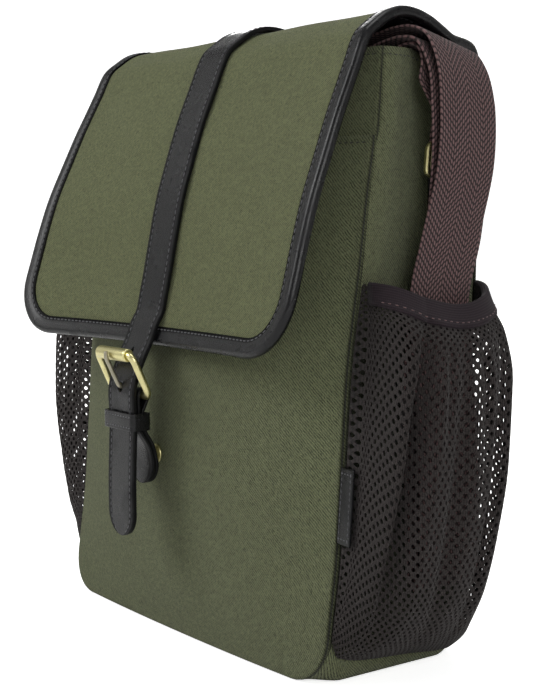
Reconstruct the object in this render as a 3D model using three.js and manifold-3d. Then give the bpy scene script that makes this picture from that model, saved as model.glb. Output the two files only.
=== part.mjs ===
// Dog training bag: an upright canvas bag with a stitched wall, a bound flap held by a leather strap and
// roller buckle, a bulging net pocket on each side and a webbing shoulder strap tucked under the flap.
// Millimetres, +Z up, the front faces -Y, and the origin is the centre of the flat base.
import * as THREE from "three";
import { mergeVertices } from "three/addons/utils/BufferGeometryUtils.js";
import Module from "manifold-3d";

const wasm = await Module();
wasm.setup();

// Driving dimensions
const clearance = 0.3;
const tapeRoom = 0.5;
const bag = { width: 240, height: 300, baseDepth: 92, cornerRadius: 22, baseRadius: 8, canvas: 1.8 };
const mouth = { hemDip: 7.5, backDrop: 5 };
const slipPocket = { height: 258.8, layerGap: 0.5 };
const flap = { topWidth: 236, hemWidth: 246, rise: 17, drop: 142.5, cornerRadius: 30, thickness: 2.4 };
const curl = { edges: 11, skew: 3.5 };
const binding = { width: 8, thickness: 1.2, edge: 1.4 };
const frontStrap = { width: 25, thickness: 2.6, holeDiameter: 5, backStart: 6, tail: 73.5 };
const buckle = { halfWidth: 17.5, barRadius: 1.9, rollerRadius: 3.4, cornerRadius: 4 };
const barPlace = { heelOut: 10, heelDrop: 26.5, rollerOut: 19.8, rollerDrop: 5.5 };
const prong = { radius: 1.2, slotWidth: 5.2 };
const billet = { thickness: 1.6, drop: 47.5 };
const keeper = { height: 9, thickness: 1.5, sideRoom: 0.6 };
const snap = { drop: 33, socketRadius: 6.5, studRadius: 5 };
const pocket = { out: 50, forward: 22, seam: 2.6, thickness: 1.2, rimHeight: 190, rimDip: 11 };
const elastic = { height: 10, thickness: 1 };
const label = { length: 36, reach: 11, thickness: 1.5, bottom: 69 };
const ring = { wire: 1.75, width: 29, height: 14, cornerRadius: 2.6 };
const ringPlace = { barDrop: 59, lean: 0.1, depthShare: 0.326 };
const ringTab = { width: 22, thickness: 1.6, length: 18 };
const webbing = { width: 38, thickness: 1.5, sewnWidth: 23, sewnLength: 20 };

const halfWidth = bag.width / 2;
const wallStack = 2 * bag.canvas + slipPocket.layerGap;

// Smooth curves through short tables

// A function that gives one named column of a table, on a monotone curve through its rows.
function column(rows, key, name) {
  const slopes = rows.slice(1).map((row, i) => (row[name] - rows[i][name]) / (row[key] - rows[i][key]));
  const tangents = rows.map((row, i) => {
    if (i === 0) return slopes[0];
    if (i === rows.length - 1) return slopes[i - 1];
    const product = slopes[i - 1] * slopes[i];
    return product <= 0 ? 0 : (2 * product) / (slopes[i - 1] + slopes[i]);
  });
  return (share) => {
    const at = THREE.MathUtils.clamp(share, rows[0][key], rows[rows.length - 1][key]);
    const i = Math.max(0, rows.findIndex((row, n) => n > 0 && at <= row[key]) - 1);
    const span = rows[i + 1][key] - rows[i][key];
    const t = (at - rows[i][key]) / span;
    return (
      rows[i][name] * (2 * t ** 3 - 3 * t ** 2 + 1) +
      tangents[i] * span * (t ** 3 - 2 * t ** 2 + t) +
      rows[i + 1][name] * (3 * t ** 2 - 2 * t ** 3) +
      tangents[i + 1] * span * (t ** 3 - t ** 2)
    );
  };
}

// Heights and fronts as shares of the bag's height and base depth; crown is how far the front swells.
const wallRows = [
  { up: 0, front: -0.52, back: 0.48, crown: 0.033 },
  { up: 0.1, front: -0.473, back: 0.487, crown: 0.13 },
  { up: 0.2, front: -0.427, back: 0.496, crown: 0.21 },
  { up: 0.33, front: -0.392, back: 0.51, crown: 0.275 },
  { up: 0.5, front: -0.35, back: 0.53, crown: 0.29 },
  { up: 0.65, front: -0.275, back: 0.55, crown: 0.28 },
  { up: 0.77, front: -0.222, back: 0.555, crown: 0.25 },
  { up: 0.86, front: -0.177, back: 0.55, crown: 0.19 },
  { up: 1, front: -0.142, back: 0.543, crown: 0.09 },
];
// How far the side wall folds in or out between its front and back seams, and where up it does so.
const sideFoldRows = [
  { across: 0, push: 0 },
  { across: 0.13, push: 1.2 },
  { across: 0.3, push: -1.6 },
  { across: 0.5, push: -4.6 },
  { across: 0.75, push: -4 },
  { across: 0.92, push: 0 },
  { across: 1, push: 0 },
];
const sideFoldHeightRows = [
  { up: 0, strength: 0 },
  { up: 0.15, strength: 0 },
  { up: 0.5, strength: 0.8 },
  { up: 0.9, strength: 1 },
  { up: 1, strength: 0.7 },
];
// The flap's middle line from its seam on the back, over the mouth, to its front hem.
// y is a share of the base depth; rise and drop are shares of the flap's own rise and drop from the hem.
const flapRows = [
  { y: 0.607, rise: 0, drop: 0.225 },
  { y: 0.609, rise: 0, drop: 0.11 },
  { y: 0.604, rise: 0, drop: 0.021 },
  { y: 0.59, rise: 0.03, drop: 0 },
  { y: 0.565, rise: 0.19, drop: 0 },
  { y: 0.522, rise: 0.27, drop: 0 },
  { y: 0.462, rise: 0.32, drop: 0 },
  { y: 0.408, rise: 0.37, drop: 0 },
  { y: 0.326, rise: 0.58, drop: 0 },
  { y: 0.24, rise: 0.8, drop: 0 },
  { y: 0.14, rise: 0.965, drop: 0 },
  { y: 0.043, rise: 1, drop: 0 },
  { y: -0.054, rise: 0.86, drop: 0 },
  { y: -0.135, rise: 0.58, drop: 0 },
  { y: -0.207, rise: 0.26, drop: 0 },
  { y: -0.277, rise: 0, drop: 0.063 },
  { y: -0.321, rise: 0, drop: 0.127 },
  { y: -0.386, rise: 0, drop: 0.225 },
  { y: -0.451, rise: 0, drop: 0.344 },
  { y: -0.525, rise: 0, drop: 0.491 },
  { y: -0.576, rise: 0, drop: 0.632 },
  { y: -0.612, rise: 0, drop: 0.744 },
  { y: -0.647, rise: 0, drop: 0.842 },
  { y: -0.69, rise: 0, drop: 0.947 },
  { y: -0.723, rise: 0, drop: 1 },
];
// The net pocket from its bottom seam to its rim: how far it stands out, how boxy its section is.
const netRows = [
  { up: 0, out: 0, boxiness: 2.2 },
  { up: 0.05, out: 0.3, boxiness: 2.4 },
  { up: 0.11, out: 0.5, boxiness: 2.6 },
  { up: 0.2, out: 0.7, boxiness: 2.8 },
  { up: 0.36, out: 0.87, boxiness: 3 },
  { up: 0.56, out: 0.98, boxiness: 3.2 },
  { up: 0.78, out: 1, boxiness: 3.2 },
  { up: 0.9, out: 0.86, boxiness: 3 },
  { up: 0.96, out: 0.62, boxiness: 2.7 },
  { up: 1, out: 0.5, boxiness: 2.5 },
];
// The pocket's bottom seam and its rim from the front seam to the back seam.
const netSeamRows = [
  { across: 0, bottom: 0.074, dip: 0 },
  { across: 0.06, bottom: 0.047, dip: 0.15 },
  { across: 0.25, bottom: 0.035, dip: 0.65 },
  { across: 0.55, bottom: 0.028, dip: 1 },
  { across: 0.85, bottom: 0.02, dip: 0.65 },
  { across: 1, bottom: 0.02, dip: 0.15 },
];
// The net's lengthwise folds: where they start and end across, their depth and width as shares.
const netFolds = [
  { top: 0.3, bottom: 0.1, depth: 0.1, width: 0.05 },
  { top: 0.52, bottom: 0.45, depth: 0.045, width: 0.07 },
  { top: 0.8, bottom: 0.72, depth: 0.07, width: 0.05 },
];

const frontShare = column(wallRows, "up", "front");
const backShare = column(wallRows, "up", "back");
const crownShare = column(wallRows, "up", "crown");
const foldPush = column(sideFoldRows, "across", "push");
const foldStrength = column(sideFoldHeightRows, "up", "strength");
const netOut = column(netRows, "up", "out");
const netBoxiness = column(netRows, "up", "boxiness");
const netBottom = column(netSeamRows, "across", "bottom");
const netDip = column(netSeamRows, "across", "dip");

// Closed bodies from faces, paths and sections

// A closed body from its corners and triangles, turned so that its faces point out.
function closedGeometry(corners, triangles) {
  let volume = 0;
  for (const [a, b, c] of triangles) {
    volume += corners[a].dot(new THREE.Vector3().crossVectors(corners[b], corners[c]));
  }
  const facing = volume > 0 ? triangles : triangles.map(([a, b, c]) => [a, c, b]);
  const geometry = new THREE.BufferGeometry();
  geometry.setFromPoints(corners);
  geometry.setIndex(facing.flat());
  geometry.computeVertexNormals();
  return geometry;
}

// A closed wall between two faces, each a function of a row and a column number.
function wallGeometry(rows, columns, outerFace, innerFace) {
  const corners = [];
  for (const face of [outerFace, innerFace]) {
    for (let i = 0; i <= rows; i++) {
      for (let j = 0; j <= columns; j++) corners.push(face(i, j));
    }
  }
  const layer = (rows + 1) * (columns + 1);
  const outer = (i, j) => i * (columns + 1) + j;
  const inner = (i, j) => layer + outer(i, j);
  const triangles = [];
  const quad = (a, b, c, d) => triangles.push([a, b, c], [a, c, d]);
  for (let i = 0; i < rows; i++) {
    for (let j = 0; j < columns; j++) {
      quad(outer(i, j), outer(i, j + 1), outer(i + 1, j + 1), outer(i + 1, j));
      quad(inner(i, j), inner(i + 1, j), inner(i + 1, j + 1), inner(i, j + 1));
    }
  }
  for (let i = 0; i < rows; i++) {
    quad(outer(i, 0), outer(i + 1, 0), inner(i + 1, 0), inner(i, 0));
    quad(outer(i, columns), inner(i, columns), inner(i + 1, columns), outer(i + 1, columns));
  }
  for (let j = 0; j < columns; j++) {
    quad(outer(0, j), inner(0, j), inner(0, j + 1), outer(0, j + 1));
    quad(outer(rows, j), outer(rows, j + 1), inner(rows, j + 1), inner(rows, j));
  }
  return closedGeometry(corners, triangles);
}

// A section carried along stations; place gives the corner of the section at a station.
function sweptGeometry(stationCount, section, place, isLoop) {
  const corners = [];
  for (let i = 0; i < stationCount; i++) {
    for (const point of section) corners.push(place(i, point));
  }
  const sides = section.length;
  const triangles = [];
  const spans = isLoop ? stationCount : stationCount - 1;
  for (let i = 0; i < spans; i++) {
    const next = (i + 1) % stationCount;
    for (let j = 0; j < sides; j++) {
      const after = (j + 1) % sides;
      triangles.push([i * sides + j, i * sides + after, next * sides + after]);
      triangles.push([i * sides + j, next * sides + after, next * sides + j]);
    }
  }
  if (!isLoop) {
    const last = (stationCount - 1) * sides;
    const isClockwise = THREE.ShapeUtils.isClockWise(section);
    for (const [a, b, c] of THREE.ShapeUtils.triangulateShape(section, [])) {
      const isTurned = THREE.ShapeUtils.isClockWise([section[a], section[b], section[c]]) !== isClockwise;
      const [d, e] = isTurned ? [c, b] : [b, c];
      triangles.push([a, e, d], [last + a, last + d, last + e]);
    }
  }
  return closedGeometry(corners, triangles);
}

// A round or oval section with the given number of sides.
function ovalSection(sides, acrossRadius, upRadius = acrossRadius) {
  const turn = (2 * Math.PI) / sides;
  return Array.from({ length: sides }, (_, i) => {
    const angle = (i + 0.5) * turn;
    return new THREE.Vector2(acrossRadius * Math.cos(angle), upRadius * Math.sin(angle));
  });
}

// A wire along points that lie in a plane with the given normal.
function wireGeometry(points, planeNormal, section, isLoop) {
  const count = points.length;
  const place = (i, corner) => {
    const before = points[isLoop ? (i + count - 1) % count : Math.max(i - 1, 0)];
    const after = points[isLoop ? (i + 1) % count : Math.min(i + 1, count - 1)];
    const forward = new THREE.Vector3().subVectors(after, before).normalize();
    const side = new THREE.Vector3().crossVectors(forward, planeNormal).normalize();
    return points[i].clone().addScaledVector(side, corner.x).addScaledVector(planeNormal, corner.y);
  };
  return sweptGeometry(count, section, place, isLoop);
}

// A strip that bends in the YZ plane: its middle line is a list of { y, z }, its width lies along X.
// Its free ends may be rounded with half its width.
function bentStrip(line, width, thickness, roundEnds) {
  const lengths = [0];
  line.slice(1).forEach((point, i) => {
    lengths.push(lengths[i] + Math.hypot(point.y - line[i].y, point.z - line[i].z));
  });
  const total = lengths[lengths.length - 1];
  const radius = width / 2;
  const halfAt = (length) => {
    const nearest = Math.min(roundEnds.start ? length : radius, roundEnds.end ? total - length : radius);
    const inside = Math.min(nearest, radius);
    return Math.max(Math.sqrt(radius ** 2 - (radius - inside) ** 2), radius * 0.25);
  };
  const columns = 2;
  const face = (side) => (i, j) => {
    const before = line[Math.max(i - 1, 0)];
    const after = line[Math.min(i + 1, line.length - 1)];
    const run = Math.hypot(after.y - before.y, after.z - before.z);
    const reach = (side * thickness) / 2 / run;
    const x = halfAt(lengths[i]) * ((2 * j) / columns - 1);
    const y = line[i].y - reach * (after.z - before.z);
    return new THREE.Vector3(x, y, line[i].z + reach * (after.y - before.y));
  };
  return wallGeometry(line.length - 1, columns, face(1), face(-1));
}

// Points on a smooth line through { y, z } points, evenly spaced by the given step.
function smoothLine(points, step) {
  const places = points.map(({ y, z }) => new THREE.Vector3(0, y, z));
  const curve = new THREE.CatmullRomCurve3(places, false, "centripetal");
  return curve.getSpacedPoints(Math.ceil(curve.getLength() / step)).map(({ y, z }) => ({ y, z }));
}

// The manifold solid of a closed geometry.
function solidOf(geometry) {
  const bare = geometry.clone();
  bare.deleteAttribute("normal");
  bare.deleteAttribute("uv");
  const merged = mergeVertices(bare, 1e-4);
  return new wasm.Manifold(
    new wasm.Mesh({
      numProp: 3,
      vertProperties: merged.attributes.position.array,
      triVerts: new Uint32Array(merged.index.array),
    }),
  );
}

// The geometry of a manifold solid.
function geometryOf(solid) {
  const made = solid.getMesh();
  const geometry = new THREE.BufferGeometry();
  geometry.setAttribute("position", new THREE.BufferAttribute(made.vertProperties, 3));
  geometry.setIndex(new THREE.BufferAttribute(made.triVerts, 1));
  geometry.computeVertexNormals();
  return geometry;
}

// The bag's own surfaces

const frontEdge = (z) => bag.baseDepth * frontShare(z / bag.height);
const backEdge = (z) => bag.baseDepth * backShare(z / bag.height);

// The front's outer face: its seams stay back and its middle swells forward.
function frontFace(x, z) {
  const crown = bag.baseDepth * crownShare(z / bag.height);
  return frontEdge(z) - crown * (1 - Math.abs(x / halfWidth) ** 2.2);
}

// The back's inner face, very slightly swollen at half height.
function backFace(x, z) {
  const swell = 3 * Math.sin((Math.PI * z) / bag.height) ** 2;
  return backEdge(z) + swell * (1 - (x / halfWidth) ** 2);
}

// Half the width of a panel that is cut a little inside the side wall's outer face.
function panelHalf(z, inset) {
  const radius = bag.cornerRadius;
  if (z >= radius) return halfWidth - inset;
  return halfWidth - radius + Math.sqrt(Math.max((radius - inset) ** 2 - (radius - z) ** 2, 0));
}

// Heights of a panel's rows: close together round the bottom corner, even up to the slip pocket's hem,
// and a few more from there to the top.
function panelHeights(top, inset) {
  const cornerRows = 4;
  const pocketRows = 7;
  const hemRows = 2;
  const heights = [];
  for (let i = 0; i < cornerRows; i++) {
    const angle = (i / cornerRows) * (Math.PI / 2);
    heights.push(bag.cornerRadius - (bag.cornerRadius - inset) * Math.cos(angle));
  }
  for (let i = 0; i <= pocketRows; i++) {
    heights.push(THREE.MathUtils.lerp(bag.cornerRadius, slipPocket.height, i / pocketRows));
  }
  for (let i = 1; i <= hemRows && top > slipPocket.height; i++) {
    heights.push(THREE.MathUtils.lerp(slipPocket.height, top, i / hemRows));
  }
  return heights;
}

// A canvas panel with round bottom corners whose outer face is given as y over x and z.
function panelGeometry(top, faceY) {
  const inset = 0.5;
  const columns = 10;
  const heights = panelHeights(top, inset);
  const face = (depth) => (i, j) => {
    const x = panelHalf(heights[i], inset) * ((2 * j) / columns - 1);
    return new THREE.Vector3(x, faceY(x, heights[i]) + depth, heights[i]);
  };
  return wallGeometry(heights.length - 1, columns, face(0), face(bag.canvas));
}

// The side wall's top hem sinks a little behind the place where the shoulder strap crosses it.
function hemLevel(y) {
  const start = 0.09 * bag.baseDepth;
  const share = THREE.MathUtils.clamp((y - start) / (0.4 * bag.baseDepth), 0, 1);
  return bag.height - mouth.hemDip * share;
}

// The side wall's bottom corner: round at its seams and tighter between them.
function wallCornerRadius(across) {
  const fromSeam = THREE.MathUtils.smoothstep(Math.min(across, 1 - across), 0, 0.17);
  return THREE.MathUtils.lerp(bag.cornerRadius, bag.baseRadius, fromSeam);
}

// Stations round half the side wall's outer line, from the middle of the base to the right top: each
// says how far along the flat base, round the corner and up the side it lies.
function sideWallStations() {
  const half = [];
  const upRows = 7;
  const cornerRows = 5;
  const baseRows = 2;
  for (let i = 0; i < baseRows; i++) half.push({ side: 1, base: (i + 0.5) / baseRows, angle: 0, up: 0 });
  for (let i = 0; i <= cornerRows; i++) {
    half.push({ side: 1, base: 1, angle: (i / cornerRows) * (Math.PI / 2), up: 0 });
  }
  for (let i = 1; i <= upRows; i++) half.push({ side: 1, base: 1, angle: Math.PI / 2, up: i / upRows });
  const left = half.map((station) => ({ ...station, side: -1 })).reverse();
  return [...left, ...half];
}

// A place on the side wall's outer line at a station and a share across, with its outward direction.
function sideWallPlace({ side, base, angle, up }, across) {
  const radius = wallCornerRadius(across);
  const nx = Math.sin(angle);
  const nz = -Math.cos(angle);
  const z = radius + radius * nz;
  return {
    x: side * ((halfWidth - radius) * base + radius * nx),
    z: THREE.MathUtils.lerp(z, bag.height, up),
    nx: side * nx,
    nz,
  };
}

// How far the side wall's face stands out at a height and a share across, without its thickness.
const sidePush = (z, across) => foldPush(across) * foldStrength(z / bag.height);

// Shares across the side wall, closer together near its seams.
const wallAcross = (share) => share - 0.1 * Math.sin(2 * Math.PI * share);

function sideWallGeometry() {
  const stations = sideWallStations();
  const columns = 8;
  const face = (depth) => (i, j) => {
    const across = wallAcross(j / columns);
    const { x, z, nx, nz } = sideWallPlace(stations[i], across);
    const y = THREE.MathUtils.lerp(frontEdge(z) + wallStack + clearance, backEdge(z) - clearance, across);
    const out = sidePush(z, across) - depth;
    const topShare = THREE.MathUtils.smoothstep(z, 0.8 * bag.height, bag.height);
    return new THREE.Vector3(x + nx * out, y, z + nz * out - (bag.height - hemLevel(y)) * topShare);
  };
  return wallGeometry(stations.length - 1, columns, face(0), face(bag.canvas));
}

// The side wall's outer x on the right, at a height and a depth.
function sideFaceX(y, z) {
  const front = frontEdge(z) + wallStack + clearance;
  const across = (y - front) / (backEdge(z) - clearance - front);
  const share = THREE.MathUtils.clamp(across, 0, 1);
  const radius = wallCornerRadius(share);
  const below = Math.max(radius - z, 0);
  return halfWidth - radius + Math.sqrt(radius ** 2 - below ** 2) + sidePush(z, share);
}

// Flap and its binding

const flapLine = smoothLine(
  flapRows.map(({ y, rise, drop }) => ({
    y: y * bag.baseDepth,
    z: bag.height + rise * flap.rise - drop * flap.drop,
  })),
  1,
);
const flapStep = Math.hypot(flapLine[1].y - flapLine[0].y, flapLine[1].z - flapLine[0].z);
const flapLength = flapStep * (flapLine.length - 1);

// A point of the flap's middle surface: x across and length along from the back seam.
function flapPoint(x, length) {
  const i = THREE.MathUtils.clamp(Math.floor(length / flapStep), 0, flapLine.length - 2);
  const t = length / flapStep - i;
  const share = x / (flap.hemWidth / 2);
  const hang = THREE.MathUtils.smoothstep(length / flapLength, 0.42, 1);
  const forward = hang * (curl.edges * share ** 2 - curl.skew * share * Math.abs(share));
  return new THREE.Vector3(
    x,
    THREE.MathUtils.lerp(flapLine[i].y, flapLine[i + 1].y, t) - forward,
    THREE.MathUtils.lerp(flapLine[i].z, flapLine[i + 1].z, t),
  );
}

// The outward direction of the flap at a point.
function flapNormal(x, length) {
  const reach = 3;
  const along = flapPoint(x, length + reach).sub(flapPoint(x, length - reach));
  const across = flapPoint(x + reach, length).sub(flapPoint(x - reach, length));
  return across.cross(along).normalize().negate();
}

// Half the flap's width at a length from its back seam, with its taper and round front corners.
function flapHalf(length) {
  const taper = THREE.MathUtils.smoothstep(length / flapLength, 0.2, 0.75);
  const half = THREE.MathUtils.lerp(flap.topWidth, flap.hemWidth, taper) / 2;
  const radius = flap.cornerRadius;
  const past = Math.max(length - (flapLength - radius), 0);
  return half - radius + Math.sqrt(Math.max(radius ** 2 - past ** 2, 0));
}

// The flap's own rows and columns, which its binding's stations follow.
const flapGrid = { sideRows: 18, cornerRows: 5, columns: 8 };

function flapGeometry() {
  const lengths = [];
  const { sideRows, cornerRows, columns } = flapGrid;
  for (let i = 0; i < sideRows; i++) lengths.push(((flapLength - flap.cornerRadius) * i) / sideRows);
  for (let i = 0; i <= cornerRows; i++) {
    const angle = (i / cornerRows) * (Math.PI / 2);
    lengths.push(flapLength - flap.cornerRadius * (1 - Math.sin(angle)));
  }
  const face = (side) => (i, j) => {
    const x = flapHalf(lengths[i]) * ((2 * j) / columns - 1);
    return flapPoint(x, lengths[i]).addScaledVector(flapNormal(x, lengths[i]), (side * flap.thickness) / 2);
  };
  return wallGeometry(lengths.length - 1, columns, face(1), face(-1));
}

// Stations round the flap's edge, each with its outward direction in the flap's surface.
function flapEdgeStations() {
  const radius = flap.cornerRadius;
  const right = [];
  const { sideRows, cornerRows, columns } = flapGrid;
  for (let i = 0; i < sideRows; i++) {
    const length = ((flapLength - radius) * i) / sideRows;
    right.push({ x: flapHalf(length), length, outX: 1, outLength: 0 });
  }
  for (let i = 0; i <= cornerRows; i++) {
    const angle = (i / cornerRows) * (Math.PI / 2);
    right.push({
      x: flap.hemWidth / 2 - radius + radius * Math.cos(angle),
      length: flapLength - radius + radius * Math.sin(angle),
      outX: Math.cos(angle),
      outLength: Math.sin(angle),
    });
  }
  for (let j = columns - 1; j > columns / 2; j--) {
    const x = (flap.hemWidth / 2 - radius) * ((2 * j) / columns - 1);
    right.push({ x, length: flapLength, outX: 0, outLength: 1 });
  }
  const left = right.map((station) => ({ ...station, x: -station.x, outX: -station.outX })).reverse();
  const middle = { x: 0, length: flapLength, outX: 0, outLength: 1 };
  return [...right, middle, ...left];
}

// The section of a folded tape that wraps an edge: x is outward past the edge, y is across the sheet.
function tapeSection(width, sheetThickness, tapeThickness, edgeThickness) {
  const inner = sheetThickness / 2 + tapeRoom;
  const outer = inner + tapeThickness;
  const round = tapeThickness * 0.6;
  return [
    [-width, outer],
    [clearance + edgeThickness - round, outer],
    [clearance + edgeThickness, outer - round],
    [clearance + edgeThickness, round - outer],
    [clearance + edgeThickness - round, -outer],
    [-width, -outer],
    [-width, -inner],
    [clearance, -inner],
    [clearance, inner],
    [-width, inner],
  ].map(([x, y]) => new THREE.Vector2(x, y));
}

function flapBindingGeometry() {
  const stations = flapEdgeStations();
  const section = tapeSection(binding.width, flap.thickness, binding.thickness, binding.edge);
  const place = (i, corner) => {
    const { x, length, outX, outLength } = stations[i];
    const at = [x + outX * corner.x, length + outLength * corner.x];
    return flapPoint(...at).addScaledVector(flapNormal(...at), corner.y);
  };
  return sweptGeometry(stations.length, section, place, false);
}

// Front strap, buckle and billet

const flapHemY = flapPoint(0, flapLength).y;
const strapOverCanvas = flap.thickness / 2 + 2 * clearance + frontStrap.thickness / 2;
const strapOverBinding = strapOverCanvas + clearance + binding.thickness;
const hemZ = bag.height - flap.drop;
// The buckle's two bars, measured from the flap's front hem: the heel bar holds the billet.
const heelBar = { y: flapHemY - barPlace.heelOut, z: hemZ - barPlace.heelDrop };
const rollerBar = { y: flapHemY - barPlace.rollerOut, z: hemZ - barPlace.rollerDrop };
// The billet's tip and the snap's middle hang below the heel bar.
const billetTip = heelBar.z - billet.drop;
const snapZ = heelBar.z - snap.drop;
const billetPitch = billet.thickness + 0.35;
const billetFront = heelBar.y - buckle.barRadius - clearance - billet.thickness / 2;
const strapOverBillet = billetFront - billet.thickness / 2 - clearance - frontStrap.thickness / 2;

// The strap's middle line: on the flap, up over the binding, behind the roller, over the heel bar, hanging.
function frontStrapLine() {
  const onFlap = [];
  const stop = flapLength - binding.width - 7;
  const steps = 30;
  for (let i = 0; i <= steps; i++) {
    const length = THREE.MathUtils.lerp(frontStrap.backStart, stop, i / steps);
    onFlap.push(flapPoint(0, length).addScaledVector(flapNormal(0, length), strapOverCanvas));
  }
  for (const past of [binding.width + 0.5, 0]) {
    const length = flapLength - past;
    onFlap.push(flapPoint(0, length).addScaledVector(flapNormal(0, length), strapOverBinding + 0.2));
  }
  return smoothLine(
    [
      ...onFlap,
      { y: strapOverBillet + 6.6, z: rollerBar.z - 1 },
      { y: strapOverBillet + 2.2, z: (rollerBar.z + heelBar.z) / 2 },
      { y: strapOverBillet - 0.1, z: heelBar.z + 2 },
      { y: strapOverBillet - 0.1, z: heelBar.z - 6 },
      { y: strapOverBillet + 0.3, z: heelBar.z - 14 },
      { y: strapOverBillet - 0.2, z: heelBar.z - 26 },
      { y: strapOverBillet - 1, z: heelBar.z - frontStrap.tail * 0.653 },
      { y: strapOverBillet - 0.9, z: heelBar.z - frontStrap.tail },
    ],
    6,
  );
}

// A pin through the strap, used to cut its holes.
function pinSolid(y, z, radius, tilt) {
  const pin = new THREE.CylinderGeometry(radius, radius, 14, 12);
  pin.rotateX(tilt);
  pin.translate(0, y, z);
  return solidOf(pin);
}

function frontStrapGeometry() {
  const strip = solidOf(bentStrip(frontStrapLine(), frontStrap.width, frontStrap.thickness, { end: true }));
  const radius = frontStrap.holeDiameter / 2;
  const prongHole = pinSolid(strapOverBillet + 0.5, heelBar.z + 3.8, radius, 0.15);
  const spareHole = pinSolid(strapOverBillet + 9, rollerBar.z + 2, radius * 0.8, 0.9);
  return geometryOf(strip.subtract(prongHole).subtract(spareHole));
}

// A folded leather strip: its front layer from the tip up to a bar, round it, and down again behind.
// The layers lie together below the joinAt point of the front layer's line.
function foldedStripLine(frontLine, bar, foldRadius, pitch, joinCount) {
  const fold = [];
  const foldSteps = 6;
  for (let i = 0; i <= foldSteps; i++) {
    const angle = Math.PI - (i / foldSteps) * Math.PI;
    fold.push({ y: bar.y + foldRadius * Math.cos(angle), z: bar.z + foldRadius * Math.sin(angle) });
  }
  const behind = frontLine.slice(0, joinCount).map((point, i) => {
    const before = frontLine[Math.max(i - 1, 0)];
    const after = frontLine[i + 1];
    const run = Math.hypot(after.y - before.y, after.z - before.z);
    return {
      y: point.y + (pitch * (after.z - before.z)) / run,
      z: point.z - (pitch * (after.y - before.y)) / run,
    };
  });
  return [...frontLine, ...fold, ...behind.reverse()];
}

function snapTabGeometry() {
  const front = [
    { y: billetFront + 8.8, z: billetTip },
    { y: billetFront + 8.8, z: billetTip + 5 },
    { y: billetFront + 8.6, z: billetTip + 11 },
    { y: billetFront + 6.6, z: billetTip + 20 },
    { y: billetFront + 1.2, z: heelBar.z - 18 },
    { y: billetFront + 0.6, z: heelBar.z - 14 },
    { y: billetFront + 0.3, z: heelBar.z - 9.5 },
    { y: billetFront, z: heelBar.z - 3 },
  ];
  const foldRadius = heelBar.y - billetFront;
  const line = foldedStripLine(front, heelBar, foldRadius, billetPitch, 7);
  const strip = bentStrip(line, frontStrap.width, billet.thickness, { start: true, end: true });
  const slot = new THREE.BoxGeometry(prong.slotWidth, 16, 11.5);
  slot.translate(0, heelBar.y, heelBar.z + 1.5);
  return geometryOf(solidOf(strip).subtract(solidOf(slot)));
}

// A closed line with round corners, in the plane of two axes.
function roundedLoop(halfX, halfV, radius, cornerSteps, place) {
  const points = [];
  const corners = [
    [1, 1],
    [-1, 1],
    [-1, -1],
    [1, -1],
  ];
  corners.forEach(([sx, sv], corner) => {
    for (let i = 0; i <= cornerSteps; i++) {
      const angle = ((corner + i / cornerSteps) * Math.PI) / 2;
      const x = sx * (halfX - radius) + radius * Math.cos(angle);
      points.push(place(x, sv * (halfV - radius) + radius * Math.sin(angle)));
    }
  });
  return points;
}

const frameLength = Math.hypot(rollerBar.y - heelBar.y, rollerBar.z - heelBar.z);
const frameLean = Math.atan2(heelBar.y - rollerBar.y, rollerBar.z - heelBar.z);

// A point of the buckle's own frame: x across, along from the heel bar to the roller bar, proud of it.
function bucklePoint(x, along, proud) {
  return new THREE.Vector3(
    x,
    heelBar.y - along * Math.sin(frameLean) - proud * Math.cos(frameLean),
    heelBar.z + along * Math.cos(frameLean) - proud * Math.sin(frameLean),
  );
}

function buckleFrameGeometry() {
  const middle = frameLength / 2;
  const place = (x, v) => bucklePoint(x, middle + v, 0);
  const loop = roundedLoop(buckle.halfWidth, middle, buckle.cornerRadius, 4, place);
  const normal = bucklePoint(0, 0, 1).sub(bucklePoint(0, 0, 0));
  return wireGeometry(loop, normal, ovalSection(8, buckle.barRadius), true);
}

function buckleRollerGeometry() {
  const half = buckle.halfWidth - buckle.barRadius - 1.6;
  const inner = buckle.barRadius + clearance;
  const profile = [
    new THREE.Vector2(inner, -half),
    new THREE.Vector2(buckle.rollerRadius, -half),
    new THREE.Vector2(buckle.rollerRadius, half),
    new THREE.Vector2(inner, half),
    new THREE.Vector2(inner, -half),
  ];
  return new THREE.LatheGeometry(profile, 16);
}

function buckleProngGeometry() {
  const wrap = buckle.barRadius + clearance + prong.radius;
  const rest = buckle.rollerRadius + clearance + prong.radius;
  const line = [];
  for (let i = 0; i <= 6; i++) {
    const angle = THREE.MathUtils.degToRad(-60 + i * 25);
    line.push({ y: heelBar.y + wrap * Math.cos(angle), z: heelBar.z + wrap * Math.sin(angle) });
  }
  const over = [
    { y: heelBar.y - 3.5, z: heelBar.z + wrap + 0.1 },
    { y: heelBar.y - 6.8, z: heelBar.z + wrap + 0.9 },
    { y: heelBar.y - 9.6, z: heelBar.z + 9 },
    { y: rollerBar.y - rest * 0.55, z: rollerBar.z - 6 },
    { y: rollerBar.y - rest * 0.94, z: rollerBar.z - 2 },
    { y: rollerBar.y - rest * 1.03, z: rollerBar.z + 1.4 },
  ];
  const points = smoothLine([...line, ...over], 1.9).map(({ y, z }) => new THREE.Vector3(0, y, z));
  return wireGeometry(points, new THREE.Vector3(1, 0, 0), ovalSection(6, prong.radius), false);
}

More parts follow.
